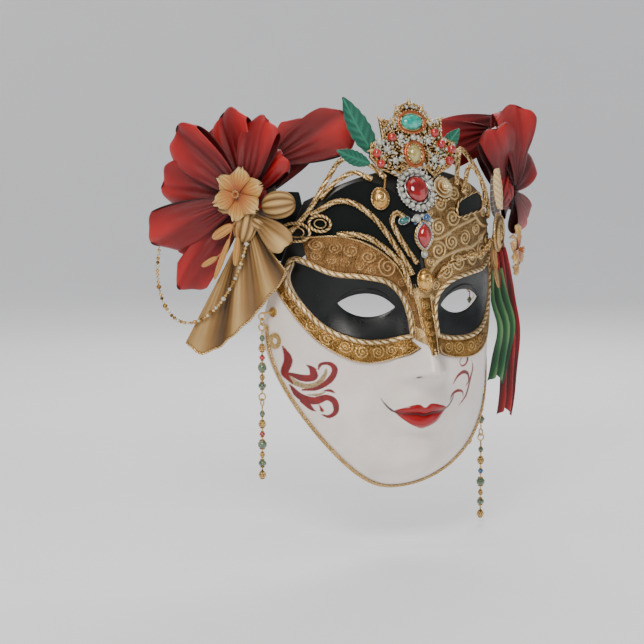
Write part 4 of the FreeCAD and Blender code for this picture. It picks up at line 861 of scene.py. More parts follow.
def make_face():
    """The white shell with its painted lips and scrolls and its black crown."""
    u, v = np.meshgrid(np.linspace(-1, 1, 231), np.linspace(-1, 1, 281))
    x, z = oval_place(u, v)
    holes = [EYES[-1], EYES[1]]
    relief = lip_fields(x, z)[2]
    points, faces, used = cut_sheet(x, z, 0.0, holes, relief)
    x, z = x.ravel()[used], z.ravel()[used]
    lips, line = lip_fields(x, z)[:2]
    red = np.full(x.shape, -9.0)
    gold = np.full(x.shape, -9.0)
    for stroke in RED_STROKES + RIGHT_STROKES:
        red = np.maximum(red, stroke_field(x, z, *stroke))
    for stroke in GOLD_STROKES:
        gold = np.maximum(gold, stroke_field(x, z, *stroke))
    blush = 0.16 * np.exp(-((np.abs(x) - 45) / 20) ** 2
                          - ((z + 42) / 18) ** 2) + 0.10 * np.exp(-(x / 11) ** 2 - ((z + 42) / 8) ** 2)
    under = np.array([[s * 6.2, -70.0] for s in (-1, 1)])
    nostril = np.zeros(x.shape)
    for nx, ny in under:
        away = np.hypot(points[:, 0] - nx, (points[:, 1] - ny) * 0.75)
        nostril = np.maximum(nostril, np.where((points[:, 2] < -40) & (points[:, 2] > -60),
                                               np.exp(-(away / 2.5) ** 4), 0))
    points[:, 2] += 3.2 * nostril
    # Painted shade: the nostrils are painted dark, standing in for the shade inside them.
    line = np.maximum(line, nostril * 2 - 1.1)
    crown = z - np.interp(x, *np.array(CROWN_LINE, float).T)
    piece = Piece()
    piece.add(points, faces)
    shell = piece.build("face_shell_gesso", ["face", "pulp"], ["face_shell"], extra={
        "lips": np.clip(lips, -1, 1), "lip_line_and_nostril_shade": np.clip(line, -1, 1), "scroll_red": np.clip(red, -1, 1),
        "scroll_gold": np.clip(gold, -1, 1), "blush": blush, "crown": np.clip(crown, -1, 1),
        # Painted light and shade: the lips darker along the line between them and a little lighter on the
        # lower lip.
        "lip_light_and_shade": np.clip(0.75 - 0.35 * np.exp(-((z - mouth_height(x)) / 1.6) ** 2)
                            + 0.1 * (z < MOUTH_UP), 0, 1)})
    thicken(shell, 2.4)


def thicken(obj, thickness, inside_slot=1):
    """Gives a surface its real thickness, behind the surface that shows."""
    solid = obj.modifiers.new("thickness", "SOLIDIFY")
    solid.thickness = thickness * MM
    solid.offset = -1
    solid.material_offset = inside_slot
    solid.use_even_offset = False


def make_lining():
    """Felt glued inside the shell, cut away behind the nose and round the eyes and nostrils."""
    u, v = np.meshgrid(np.linspace(-0.86, 0.86, 150), np.linspace(-0.86, 0.86, 190))
    x, z = oval_place(u, v)
    angle = np.linspace(0, 2 * math.pi, 120, endpoint=False)
    relief = np.stack([20 * np.cos(angle), -38 + 52 * np.sin(angle)], 1)
    points, faces = cut_sheet(x, z, -2.7, [almond(-1, 2.0), almond(1, 2.0), relief])[:2]
    piece = Piece()
    piece.add(points, faces)
    lining = piece.build("shell_lining_felt", ["felt"], ["shell_lining"])
    thicken(lining, 1.0, 0)
    stitches = Piece()
    for side in (-1, 1):
        loop = smooth(almond(side, 4.0), 60, True)
        for i in range(0, 60, 2):
            run = loop[[i, (i + 1) % 60]]
            stitches.tube(smooth(on_face(run[:, 0], run[:, 1], -3.8), 4), 0.28, 5, relief=0.5)
    stitches.build("lining_stitches", ["cotton"])


def make_brow_pad():
    """A soft foam pad in a cotton cover, plumped by a short cloth simulation."""
    top = -2.4 - 0.3 - 1.0 - 0.15
    low = smooth([(-42, 34), (-20, 30), (0, 28), (20, 30), (42, 34)], 61)
    high = smooth([(-40, 46), (-20, 46), (0, 46), (20, 46), (40, 46)], 61)
    middle, half = (low + high) / 2, (high - low) / 2
    rows = []
    for t in np.linspace(0, 2 * math.pi, 28, endpoint=False):
        across = np.sign(math.cos(t)) * abs(math.cos(t)) ** 0.6 * 0.93
        lift = top - 2.5 + 2.1 * np.sign(math.sin(t)) * abs(math.sin(t)) ** 0.7
        place = middle + half * across
        rows.append(on_face(place[:, 0], place[:, 1], lift))
    points = np.array(rows)
    piece = Piece()
    faces = grid_faces(28, 61, True, False)
    faces += [[r * 61 for r in range(28)], [r * 61 + 60 for r in range(28)][::-1]]
    piece.add(points, faces)
    pad = piece.build("brow_pad_cover", ["cotton"], ["brow_pad"])
    plump(pad, 14)
    smoother = pad.modifiers.new("smooth", "SUBSURF")
    smoother.levels = smoother.render_levels = 1


def plump(obj, frames):
    """Runs cloth with a little pressure inside the cover, caps how far it swells and applies the result."""
    bpy.context.view_layer.update()
    start = np.array([v.co for v in obj.data.vertices])
    cloth = obj.modifiers.new("cloth", "CLOTH")
    cloth.settings.use_pressure = True
    cloth.settings.uniform_pressure_force = 1.5
    cloth.settings.tension_stiffness = cloth.settings.compression_stiffness = 25
    cloth.settings.effector_weights.gravity = 0
    scene = bpy.context.scene
    for step in range(1, frames + 1):
        scene.frame_set(step)
    shaped = obj.evaluated_get(bpy.context.evaluated_depsgraph_get())
    moved = np.array([v.co for v in shaped.data.vertices])
    shift = moved - start
    far = np.linalg.norm(shift, axis=1, keepdims=True)
    shift *= np.minimum(1, 0.6 * MM / np.maximum(far, 1e-9))
    obj.modifiers.remove(cloth)
    obj.data.vertices.foreach_set("co", (start + shift).ravel())
    scene.frame_set(1)


# ---------------------------------------- the half mask: panels, rims, bands and brow

OPENING_TOP = [(9.5, -18), (10, -6), (14, 5), (24, 13.5), (38, 16.5), (54, 18.5), (69, 27)]
OPENING_BOTTOM = [(9.5, -18), (24, -21), (40, -20.5), (55, -13.5), (66, 1), (71, 15), (69, 27)]
CHEEK_BAND_LOW = [(5.6, -26.4), (12, -31.5), (27, -35), (43, -34), (58, -25), (69, -9), (76, 9), (75, 20)]
BROW_BAND_TOP = [(-3.9, -15), (-5.6, 3), (-12.4, 15), (-20.5, 26.5), (-32, 36), (-48, 42), (-66, 41)]
VELVET_BOTTOM = [(-5, 7), (-9.4, 16.5), (-16.8, 27.8), (-29.6, 37.2), (-46.4, 43.0), (-65, 42)]
VELVET_TOP = [(-1, 20), (-3, 44), (-12, 66), (-30, 76), (-48, 70), (-62, 55)]
PANEL_TOP_RIGHT = [(3.9, -15), (4.2, 6), (1.6, 28), (2.4, 52), (14, 69), (32, 77), (50, 70), (66, 52)]
BAND_MARGIN, LAYER = 3.25, 0.15


def offset(line, grow):
    """Moves an open line sideways in its plane, to the left of its direction."""
    run = normalise(np.gradient(line, axis=0))
    return line + np.stack([-run[:, 1], run[:, 0]], 1) * grow


def opening_loop(side, grow=0.0, count=200):
    """Outline of an eye opening of the half mask, moved outwards."""
    top, foot = smooth(OPENING_TOP, count // 2), smooth(OPENING_BOTTOM, count // 2)
    loop = np.vstack([top[:-1], foot[::-1][:-1]])
    loop = smooth(loop[::3], count, True)
    run = normalise(np.roll(loop, -1, 0) - np.roll(loop, 1, 0))
    loop = loop + np.stack([-run[:, 1], run[:, 0]], 1) * grow
    return loop * (side, 1)


def plate_on_face(piece, lower, upper, low, high, rows, relief=None, depth=0.0, **values):
    """A plate that follows the face between two lines, closed underneath, with relief on its front."""
    share = np.linspace(0, 1, rows)[:, None, None]
    spread = lower[None] * (1 - share) + upper[None] * share
    x, z = spread[..., 0], spread[..., 1]
    rise = np.zeros(x.shape) if relief is None else relief(x, z)
    fade = np.minimum(1, np.minimum(share[..., 0], 1 - share[..., 0]) * rows / 2.0)
    top = on_face(x, z, high - depth + rise * depth * fade)
    under = on_face(x, z, low)
    columns = x.shape[1]
    points = np.concatenate([top, under[:, ::-1]], 1)
    tone = np.concatenate([rise, np.zeros_like(rise)], 1)
    faces = grid_faces(rows, 2 * columns, False, True)
    for base in (0, (rows - 1) * 2 * columns):
        faces += [[base + i, base + i + 1, base + 2 * columns - 2 - i, base + 2 * columns - 1 - i]
                  for i in range(columns - 1)]
    piece.add(points, faces, relief=0.25 + 0.6 * tone, **values)


def granulated(x, z, size=1.15):
    """Rows of small beads pressed into the metal."""
    row = np.floor(z / size)
    return 0.5 + 0.5 * np.cos(2 * math.pi * (x / size + 0.5 * (row % 2))) * np.cos(2 * math.pi * z / size)


def make_panels():
    """The black panels round the eye holes, and the wound gold rims that frame them."""
    for side, name in ((-1, "left"), (1, "right")):
        centre = np.array([side * 33.0, 0.0])

        def radial(loop, count=220):
            angle = np.unwrap(np.arctan2(loop[:, 1] - centre[1], loop[:, 0] - centre[0]))
            reach = np.hypot(*(loop - centre).T)
            order = np.argsort(angle % (2 * math.pi))
            turned, reach = (angle % (2 * math.pi))[order], reach[order]
            wanted = np.linspace(0, 2 * math.pi, count, endpoint=False)
            reach = np.interp(wanted, turned, reach, period=2 * math.pi)
            return centre + np.stack([np.cos(wanted), np.sin(wanted)], 1) * reach[:, None]

        a, b = radial(EYES[side]), radial(opening_loop(side, -LAYER))
        rows = []
        for share in np.linspace(0, 1, 26):
            place = a * (1 - share) + b * share
            rows.append(on_face(place[:, 0], place[:, 1], 0.15 + 0.8 * min(1, 4 * share + 0.6)))
        rows.append(on_face(b[:, 0], b[:, 1], 0.15))
        rows.insert(0, on_face(a[:, 0], a[:, 1], 0.1))
        piece = Piece()
        piece.grid(np.array(rows), closed_columns=True)
        crease = a + (a - centre) * np.array([0.07, 0.42])
        upper = crease[:, 1] > centre[1] + 3.4
        lid = smooth(crease[upper][np.argsort(crease[upper][:, 0])], 60)
        taper = 0.5 * np.sin(np.linspace(0, math.pi, 60)) ** 0.5 + 0.12
        piece.tube(on_face(lid[:, 0], lid[:, 1], 0.95), taper, 8)
        piece.build(f"eye_panel_{name}_lacquer", ["lacquer"], [f"eye_panel_{name}"],
                    flip=side < 0)
        rim = Piece()
        loop = opening_loop(side, 1.55, 300)
        path = on_face(loop[:, 0], loop[:, 1], 1.4)
        ups = face_normal(loop[:, 0], loop[:, 1])
        rim.tube(path, 1.25, 20, closed=True, flat=0.95, ups=ups, lobes=2, pitch=5.2, groove=0.16)
        for shift, lift in ((-1.1, 0.75), (1.15, 0.75)):
            edge = opening_loop(side, 1.55 + shift, 420)
            rim.tube(on_face(edge[:, 0], edge[:, 1], lift + 0.25), 0.55, 8, closed=True, lobes=2,
                     pitch=1.7, groove=0.35,
                     ups=face_normal(edge[:, 0], edge[:, 1]), slot=1)
        rim.build(f"eye_rim_{name}_wire", ["leather", "cord"], [f"eye_rim_{name}"])


BAND_SCROLLS = [(x, z, r, h) for (x, z), r, h in (
    ((12, -26.6), 3.4, 1), ((20, -27.8), 4.2, -1), ((29, -28.6), 4.6, 1), ((38.5, -28.2), 4.6, -1),
                                                  ((47.5, -25.2), 4.6, 1),
    ((55.5, -20.6), 4.3, -1), ((62, -13), 4.2, 1), ((67.3, -4), 4.0, -1), ((71.6, 5.5), 3.6, 1),
                                                  ((73.4, 13.5), 2.8, -1))]
BROW_SCROLLS = [(-6.6, -2, 2.0, -1), (-9.2, 6, 3.0, 1), (-14.0, 15.0, 3.6, -1), (-23.2, 23.6, 6.4, 1),
                (-34.2, 30.2, 4.8, -1),
                (-43.2, 34.0, 4.4, 1), (-51.6, 35.6, 4.0, -1), (-60, 37.2, 3.8, 1), (-32.4, 21.8, 2.9, 1),
                (-39.4, 24.6, 3.0, -1),
                (-46.4, 26.6, 2.9, 1), (-53.4, 28.0, 2.8, -1), (-60.2, 30.4, 2.8, 1), (-16.2, 9.6, 2.0, 1),
                (-27.6, 32.6, 2.0, -1)]
PANEL_SCROLLS = [(9.5, 12, 4.0, 1), (17, 20, 5.2, -1), (27.5, 25.5, 6.4, 1), (40, 27.5, 6.0, -1),
                 (52, 30.5, 6.4, 1), (61.5, 37, 5.0, -1),
                 (12, 33, 6.0, -1), (22.5, 38, 5.6, 1), (34, 40, 5.2, -1), (12.5, 47.5, 5.6, 1),
                 (24, 53, 6.4, -1), (36, 56, 6.2, 1),
                 (15, 62, 5.4, -1), (28, 68, 5.6, 1), (41, 70, 4.8, -1), (46, 45, 4.6, 1),
                 (6.5, 57, 3.4, 1), (6, 26, 3.2, 1),
                 (57, 55, 4.2, 1), (5.5, 4, 2.4, 1), (36, 33.5, 2.6, 1), (50.5, 38.5, 3.4, -1)]


def ornament(x, z, scrolls, ground=0.22):
    """Height of chased scrolls over a granulated ground, from 0 to 1."""
    swirls = spiral_relief(x, z, scrolls)
    return np.clip(np.maximum(swirls, ground * granulated(x, z)), 0, 1)


def make_bands():
    """The chased gold bands under the eyes."""
    for side, name in ((-1, "left"), (1, "right")):
        loop = opening_loop(1, BAND_MARGIN, 400)
        start = np.argmin(np.hypot(loop[:, 0] - 8.0, loop[:, 1] + 21))
        stop = np.argmin(np.hypot(loop[:, 0] - 74.2, loop[:, 1] - 19))
        walk = np.roll(loop[::-1], start - 399, axis=0)
        turn = np.argmin(np.hypot(*(walk - loop[start]).T))
        walk = np.roll(walk, -turn, axis=0)
        upper = walk[:np.argmin(np.hypot(*(walk - loop[stop]).T)) + 1]
        upper = smooth(upper[::4], 170)
        lower = smooth(CHEEK_BAND_LOW, 170)
        scrolls = [(x * side, z, r, h * side) for x, z, r, h in BAND_SCROLLS]
        piece = Piece()
        plate_on_face(piece, lower * (side, 1), upper * (side, 1), 0.15, 1.95, 22, lambda x,
                      z: ornament(x, z, scrolls, 0.55), 0.75)
        low_edge = offset(lower, 0.55) * (side, 1)
        piece.tube(on_face(low_edge[:, 0], low_edge[:, 1], 1.5), 0.62, 8, lobes=2, pitch=1.9, groove=0.35,
                   slot=1,
                   ups=face_normal(low_edge[:, 0], low_edge[:, 1]))
        piece.build(f"cheek_band_{name}_gilt", ["gold", "cord"], [f"cheek_band_{name}"],
                    flip=side < 0)


def opening_top(side, grow, count, low=0.0, high=1.0):
    """The upper edge of an opening, moved outwards, from the nose to the temple."""
    line = smooth(OPENING_TOP, 400)
    line = offset(line, grow)
    keep_from, keep_to = int(low * 399), int(high * 399)
    return smooth(line[keep_from:keep_to:6], count) * (side, 1)


def make_brow():
    """A chased band under black velvet on the left, an embossed panel with a window on the right."""
    lower = opening_top(-1, BAND_MARGIN, 190, 0.06, 0.97)
    band = Piece()
    upper = smooth(BROW_BAND_TOP, 190)
    plate_on_face(band, upper, lower, 0.15, 2.15, 30, lambda x, z: ornament(x, z, BROW_SCROLLS, 0.5), 1.0)
    trim = offset(upper, -0.5)
    band.tube(on_face(trim[:, 0], trim[:, 1], 1.6), 0.7, 8, lobes=2, pitch=2.0, groove=0.35, slot=1,
              ups=face_normal(trim[:, 0], trim[:, 1]))
    band.build("brow_band_left_gilt", ["tan", "cord"], ["brow_band_left"])
    velvet = Piece()
    plate_on_face(velvet, smooth(VELVET_BOTTOM, 90), smooth(VELVET_TOP, 90), 0.15, 0.95, 40)
    velvet.build("brow_velvet_cloth", ["velvet"], ["brow_velvet_left"])
    panel = Piece()
    bottom, top = opening_top(1, BAND_MARGIN, 220, 0.06, 0.97), smooth(PANEL_TOP_RIGHT, 220)
    ridge = [([(5, 20), (13, 27), (26, 32), (42, 34.5), (60, 43)], [0.9] * 5),
             ([(4, 40), (14, 41), (26, 46.5), (38, 50), (46, 52)], [0.7] * 5),
             ([(66, 46), (56, 46), (48, 51), (41, 61), (36, 73)], [0.8] * 5)]

    def relief(x, z):
        raised = ornament(x, z, PANEL_SCROLLS, 0.12)
        for line in ridge:
            raised = np.maximum(raised,
                                np.clip(stroke_field(x, z, *line) + 0.6, 0,
                                        1) * (0.75 + 0.25 * np.cos(5.0 * (x + z))))
        return raised

    plate_on_face(panel, bottom, top, 0.15, 1.95, 96, relief, 0.95)
    panel.build("brow_panel_right_gilt", ["leather"], ["brow_panel_right"])
    window = Piece()
    loop = smooth([(29.5, 61.5), (40, 65.5), (51.5, 67), (56, 62), (53.5, 56.5), (40, 54.5), (28, 53)],
                  60, True)
    middle = loop.mean(0)
    rows = [on_face(*(middle + (loop - middle) * s).T, 2.0 + 0.25 * (1 - s))
            for s in (0.02, 0.4, 0.75, 1.0)] + [on_face(*loop.T, 1.4)]
    window.grid(np.array(rows), closed_columns=True, slot=0)
    window.tube(on_face(*loop.T, 2.2), 0.75, 10, closed=True, lobes=2, pitch=1.8, groove=0.35, slot=1,
                ups=face_normal(*loop.T))
    window.build("brow_panel_window", ["velvet", "cord"])


def make_nose_strip():
    """The filigree strip down the nose, on a thin chased plate."""
    piece = Piece()
    line = smooth([(3.0, 4), (3.1, -8), (2.5, -20), (1.4, -30)], 90)
    edge = line * (-1, 1)
    ups = np.linspace(4, -30, 90)

    def relief(x, z):
        swirls = spiral_relief(x, z, [(0, -0.5, 2.6, 1), (0.2, -6.4, 2.5, -1), (-0.1, -12, 2.2, 1),
                                      (0, -17.2, 1.9, -1), (0, -21.8, 1.6, 1)])
        return np.maximum(swirls, 0.3 * granulated(x, z, 0.9))

    plate_on_face(piece, edge, line, 0.15, 2.1, 20, relief, 0.8)
    levels = np.linspace(13, -24.5, 110)
    reach = np.interp(-levels, [-13, -5, 6, 18, 21, 24.5], [9.0, 7.0, 6.6, 6.9, 7.4, 2.2])
    sides = np.stack([reach, levels], 1)
    engraving = [(s * 4.9, z, 1.9, s) for s in (-1, 1) for z in (9, 4.5, 0, -4.5, -9, -13.5, -18)]
    plate_on_face(piece, sides * (-1, 1), sides, 0.1, 1.25, 40, lambda x,
                  z: ornament(x, z, engraving, 0.5), 0.45, slot=2)
    for side in (-1, 1):
        rail = np.stack([side * np.interp(-ups, -line[::-1, 1][::-1], line[:, 0]), ups], 1)
        piece.tube(on_face(rail[:, 0], rail[:, 1], 1.9), 0.5, 8, lobes=2, pitch=1.5, groove=0.35, slot=1,
                   ups=face_normal(rail[:, 0], rail[:, 1]))
    for z in (-27.5, -29.3, -30.8):
        piece.ball(on_face(0.0, z, 1.6), 0.9, relief=0.8, slot=1)
    piece.build("nose_strip_gilt", ["gold", "cord", "leather"], ["nose_strip"])


# ---------------------------------------- gold cords, braid and curls

CORDS = {
    "left": {
        "top_loop": [(-70, 44), (-62, 57), (-53, 73), (-41, 87), (-29, 86), (-20, 77)],
        "inner_loop": [(-56, 65), (-48, 74), (-37, 80), (-28, 76)],
        "middle": [(-61, 55), (-50, 63), (-40, 62), (-29, 52), (-18, 36), (-8, 19)],
        "hook": [(-12, 54), (-17, 56.5), (-20, 52), (-17.5, 45), (-11.5, 35), (-4.5, 25.5)],
        "lower": [(-50, 44), (-40, 43.6), (-30, 39.6), (-19, 29.6), (-11.5, 18), (-7.2, 7)],
    },
    "right": {
        "top_loop": [(30, 72), (33, 79), (41, 88), (53, 92), (64, 86), (69, 73), (66, 58), (60, 51)],
        "inner_loop": [(34, 67), (39, 74), (46, 81), (55, 81), (61, 73), (60, 63), (54, 57)],
        "edge": [(9.5, 16.5), (20, 24.5), (34, 27.8), (50, 29.2), (65, 36)],
    },
}
CURL_RINGS = [(-57, 50, 4.6), (-67, 44.5, 5.4)]


def cord_on_face(piece, places, lift=2.9, thickness=1.55, closed=False, count=None, **values):
    """A cord of three strands, wound with fine gold beads, that lies on the face."""
    length = np.linalg.norm(np.diff(places, axis=0), axis=1).sum()
    line = smooth(places, count or int(length * 3), closed)
    normals = face_normal(line[:, 0], line[:, 1])
    path = on_face(line[:, 0], line[:, 1], lift)
    piece.tube(path, thickness, 18, closed=closed, lobes=3, pitch=9.0, groove=0.22, flat=0.85, ups=normals,
               slot=0, **values)
    gone = np.concatenate([[0], np.cumsum(np.linalg.norm(np.diff(path, axis=0), axis=1))])
    side = normalise(np.cross(normals, normalise(np.gradient(path, axis=0))))
    for at in np.arange(0.5, gone[-1], 0.95):
        i = int(np.searchsorted(gone, at))
        phase = 2 * math.pi * at / 3.1
        for turn in (0.0, 1.26, 2.51, 3.77, 5.03):
            a = phase + turn
            if math.sin(a) < -0.35:
                continue
            across = side[i] * math.cos(a) * thickness * 0.92
            spot = path[i] + across + normals[i] * math.sin(a) * thickness * 0.84
            piece.ball(spot, 0.5, rings=5, sides=6, relief=rng.uniform(0.3, 1.0), slot=0)


def make_cords():
    """The scrolling cords of both brows and the two curl rings."""
    for name, cords in CORDS.items():
        piece = Piece()
        for places in cords.values():
            cord_on_face(piece, places)
        if name == "left":
            piece.tube(on_face(*smooth([(-20, 77), (-22, 71), (-25, 68)], 20).T, 2.6), 0.8, 8, slot=0)
        piece.build(f"scroll_cords_{name}_braid", ["cord"], [f"scroll_cords_{name}"])
    rings = Piece()
    for x, z, radius in CURL_RINGS:
        angle = np.linspace(0, 2 * math.pi, 24, endpoint=False)
        turn = np.stack([np.cos(angle), np.sin(angle)], 1)
        line = smooth((x, z) + radius * turn, 90, True)
        rings.tube(on_face(line[:, 0], line[:, 1], 5.0), 1.0, 14, closed=True, lobes=2, pitch=2.6,
                   groove=0.2,
                   ups=face_normal(line[:, 0], line[:, 1]))
        inner = smooth((x, z) + radius * 0.55 * turn, 60, True)
        rings.tube(on_face(*inner.T, 4.7), 0.45, 8, closed=True, lobes=2, pitch=1.6, groove=0.3)
    rings.build("curl_rings_wire", ["cord"], ["curl_rings"])


def make_edge_braid():
    """The three-strand plait along the shell's jaw."""
    angle = np.radians(np.linspace(178, 362, 900))
    z = OVAL_MIDDLE + OVAL_HALF_HEIGHT * np.sin(angle)
    x = OVAL_HALF_WIDTH * np.cos(angle) * (1 - JAW_TAPER * jaw_share(z - OVAL_MIDDLE) ** 2)
    x, z = x * 0.985, OVAL_MIDDLE + (z - OVAL_MIDDLE) * 0.985
    normals = face_normal(x, z)
    path = on_face(x, z, 0.9)
    side = normalise(np.cross(normals, normalise(np.gradient(path, axis=0))))
    piece = Piece()
    gone = np.concatenate([[0], np.cumsum(np.linalg.norm(np.diff(path, axis=0), axis=1))])
    for strand in range(3):
        phase = 2 * math.pi * (gone / 5.4 + strand / 3)
        woven = path + side * (1.05 * np.sin(phase))[:, None] + normals * (0.35
                * np.cos(2 * phase))[:, None]
        piece.tube(woven, 0.55, 7, lobes=2, pitch=1.6, groove=0.3)
    piece.build("edge_braid_plait", ["cord"], ["edge_braid"])


# ---------------------------------------- floor

FLOOR_GAP = 0.004


def make_floor():
    """A sheet of paper that curves up into a wall, far enough behind for a view from any side."""
    size, low, start, radius = 4.5, CAD_BOX[0][2] - FLOOR_GAP, 1.7, 0.8
    points = [(y, low) for y in np.linspace(-2.2, start, 6)]
    points += [(start + radius * math.sin(a), low + radius * (1 - math.cos(a)))
               for a in np.linspace(0.15, math.pi / 2, 10)]
    points.append((start + radius, low + 3.2))
    grid = np.array([[(x, y, z) for x in np.linspace(-size, size, 9)] for y, z in points])
    mesh = bpy.data.meshes.new("floor")
    mesh.from_pydata(grid.reshape(-1, 3).tolist(), [], grid_faces(*grid.shape[:2]))
    mesh.polygons.foreach_set("use_smooth", [True] * len(mesh.polygons))
    mesh.materials.append(simple("floor_paper", [(0.3, (0.80, 0.80, 0.81)), (0.7, (0.86, 0.86, 0.87))], 3,
                                 0.85, 220, 0.0002,
                                 Emission_Color=(0.85, 0.86, 0.88, 1.0), Emission_Strength=0.30))
    floor = bpy.data.objects.new("floor", mesh)
    bpy.context.collection.objects.link(floor)


# ---------------------------------------- stones and settings

JEWEL_LIFT = 2.2


def make_jewels():
    """The ruby with its halo, the drop under it, the two domed bosses and the small blue stones."""
    seat = face_frame(-1, 70, JEWEL_LIFT)
    ruby = Piece()
    stone(ruby, seat, 7.4, 8.4, 5.0, bulge=2.2)
    ruby.build("ruby_cabochon", ["ruby"], ["ruby_stone"])
    halo = Piece()
    ring_seat(halo, seat, 8.3, 9.3, 0.75, 0.9, lobes=1, pitch=1.5, groove=0.3, slot=0)
    ring_seat(halo, seat, 11.3, 12.0, 1.9, -0.2, flat=0.35, slot=0)
    for i in range(18):
        a = 2 * math.pi * i / 18
        spot = placed(seat, (11.1 * math.cos(a), 11.9 * math.sin(a), 1.0))
        away = frame_at(spot, seat[:3, 2] + 0.35 * (spot - seat[:3, 3]) / 11)
        halo.ball(spot, 1.75, squash=0.8, frame=away, rings=6, sides=8, slot=1, relief=0.6)
        for b in (-0.10, 0.10):
            tip = placed(seat, (13.4 * math.cos(a + b), 14.2 * math.sin(a + b), 0.5))
            halo.ball(tip, 0.72, rings=5, sides=7, slot=0, relief=0.8)
    halo.build("ruby_halo_crystals", ["silver", "crystal"], ["ruby_halo"])

    seat = face_frame(1, 42.5, JEWEL_LIFT)
    drop = Piece()
    stone(drop, seat, 4.6, 7.4, 3.4, pointed=True)
    drop.build("ruby_drop_marquise", ["ruby"], ["ruby_drop_stone"])
    setting = Piece()
    angle = np.linspace(0, 2 * math.pi, 60, endpoint=False)
    taper = (1 - 0.5 * np.abs(np.sin(angle)) ** 2.2) ** 0.8
    for grow, out, thick, slot in ((0.75, 0.5, 0.62, 0), (1.7, -0.2, 0.8, 1)):
        loop = placed(seat,
                      np.stack([(4.6 + grow) * taper * np.cos(angle), (7.4 + grow) * np.sin(angle),
                                np.full(60, out)], 1))
        setting.tube(loop, thick, 10, closed=True, lobes=2, pitch=1.6, groove=0.25, slot=slot,
                     ups=np.broadcast_to(seat[:3, 2], loop.shape))
    setting.ball(placed(seat, (0.2, -11.4, 0.2)), 1.9, squash=0.9, slot=2, rings=10, sides=16)
    ring_seat(setting, frame_at(placed(seat, (0.2, -11.4, -0.4)), seat[:3, 2]), 2.1, 2.1, 0.5, lobes=2,
              pitch=1.2, groove=0.3, count=24)
    setting.build("ruby_drop_wire", ["silver", "cord", "crystal"], ["ruby_drop_setting"])

    for name, (x, z, lift), node, material in (("bridge_boss_dome", (0, 15, JEWEL_LIFT), "bridge_boss",
                                                "boss"),
                                               ("gold_pearl_dome", (-25.5, 65, 2.8), "gold_pearl", "boss")):
        seat = face_frame(x, z, lift)
        piece = Piece()
        stone(piece, seat, 5.4, 6.8, 4.4, relief=0.62)
        turns = np.linspace(0.4, 3.6 * math.pi, 90)
        reach = turns / (3.6 * math.pi)
        x_flat, y_flat = 3.9 * reach * np.cos(turns), 5.0 * reach * np.sin(turns)
        height = 4.4 * np.sqrt(np.clip(1 - (x_flat / 5.4) ** 2 - (y_flat / 6.8) ** 2, 0.05, 1))
        piece.tube(placed(seat, np.stack([x_flat, y_flat, height], 1)), 0.34, 7, relief=0.95)
        ring_seat(piece, seat, 5.3, 6.7, 0.7, 0.2, lobes=2, pitch=1.6, groove=0.3, slot=1)
        piece.build(name, [material, "cord"], [node])

    gems = Piece()
    for (x, z), slot in (((-3.4, 53), 2), ((3.4, 53.2), 0), ((-12.5, 52), 1)):
        seat = face_frame(x, z, JEWEL_LIFT if x > -10 else 3.2, turn=0 if x > -10 else 20)
        wide, tall = (2.3, 2.3) if x > -10 else (3.6, 2.1)
        stone(gems, seat, wide, tall, 2.0, slot=slot)
        ring_seat(gems, seat, wide + 0.2, tall + 0.2, 0.42, 0.1, count=28, lobes=2, pitch=1.1, groove=0.3,
                  slot=3, sides=7)
    for dx, dz, slot in ((-6.6, 52.2, 2), (6.6, 51.4, 2), (0, 49.9, 0), (0, 54.6, 2), (-5.2, 50.1, 0),
                         (4.6, 49.6, 2)):
        gems.ball(on_face(dx, dz, 2.7), 1.25, slot=slot, relief=0.7)
    gems.build("sapphire_cluster", ["sapphire", "teal", "crystal", "silver"], ["sapphire_stones"])


def make_rose_shell():
    """A small gilt shell flower beside the ruby."""
    piece = Piece()
    seat = face_frame(17.5, 70.5, 1.9)
    for ring, (count, reach, high) in enumerate(((7, 7.2, 0.6), (6, 4.8, 1.7), (4, 2.6, 2.6))):
        for i in range(count):
            a = 2 * math.pi * (i + 0.5 * ring) / count
            t, w = np.meshgrid(np.linspace(0, 1, 8), np.linspace(-1, 1, 9), indexing="ij")
            r = reach * t * (1 - 0.16 * w ** 2)
            side_reach = w * reach * 0.46 * np.sin(np.clip(t * 0.9 + 0.1, 0, 1) * math.pi / 2)
            out = high + 1.5 * t ** 2 - 0.5 * np.abs(w) + 0.18 * np.cos(9 * w)
            local = np.stack([r * math.cos(a) - side_reach * math.sin(a),
                              r * math.sin(a) + side_reach * math.cos(a), out], -1)
            piece.grid(placed(seat, local.reshape(-1, 3)).reshape(local.shape), relief=0.35 + 0.5 * t)
    piece.ball(placed(seat, (0, 0, 3.6)), 1.3, relief=0.9)
    granules(piece, seat,
             [(8.2 * math.cos(a), 8.2 * math.sin(a)) for a in np.linspace(0, 2 * math.pi, 22,
                     endpoint=False)], 0.75)
    obj = piece.build("shell_flower_gilt", ["leather"])
    thicken(obj, 0.35, 0)


CREST = frame_at((0, -50.5, 84), (0, -0.978, 0.208), (0, 0.208, 0.978))
CREST_OUTLINE = [(0, 1.4), (8, -0.5), (13, -5.5), (25, 0), (31, 7), (30, 15), (21, 19), (22, 31), (13, 29),
                 (9, 38), (0, 42)]
AMBER_UP, TURQUOISE_UP = 8.6, 28.5
CRYSTALS = [(-8.6, 19.4), (-19.5, 11.8), (-14, 4.6), (0.2, 18.8), (10.6, 16.4), (13.5, 4.7), (-24, 16),
            (19, 3)]
CORALS = [(-15, 19), (-26.6, 9.2), (-24.6, 2.6), (15.5, 21.5), (19.6, 14.4), (26.6, 11), (24.2, 3.8)]


def crest_point(x, y, out):
    """A point given in the crest's own axes."""
    return placed(CREST, (x, y, out))


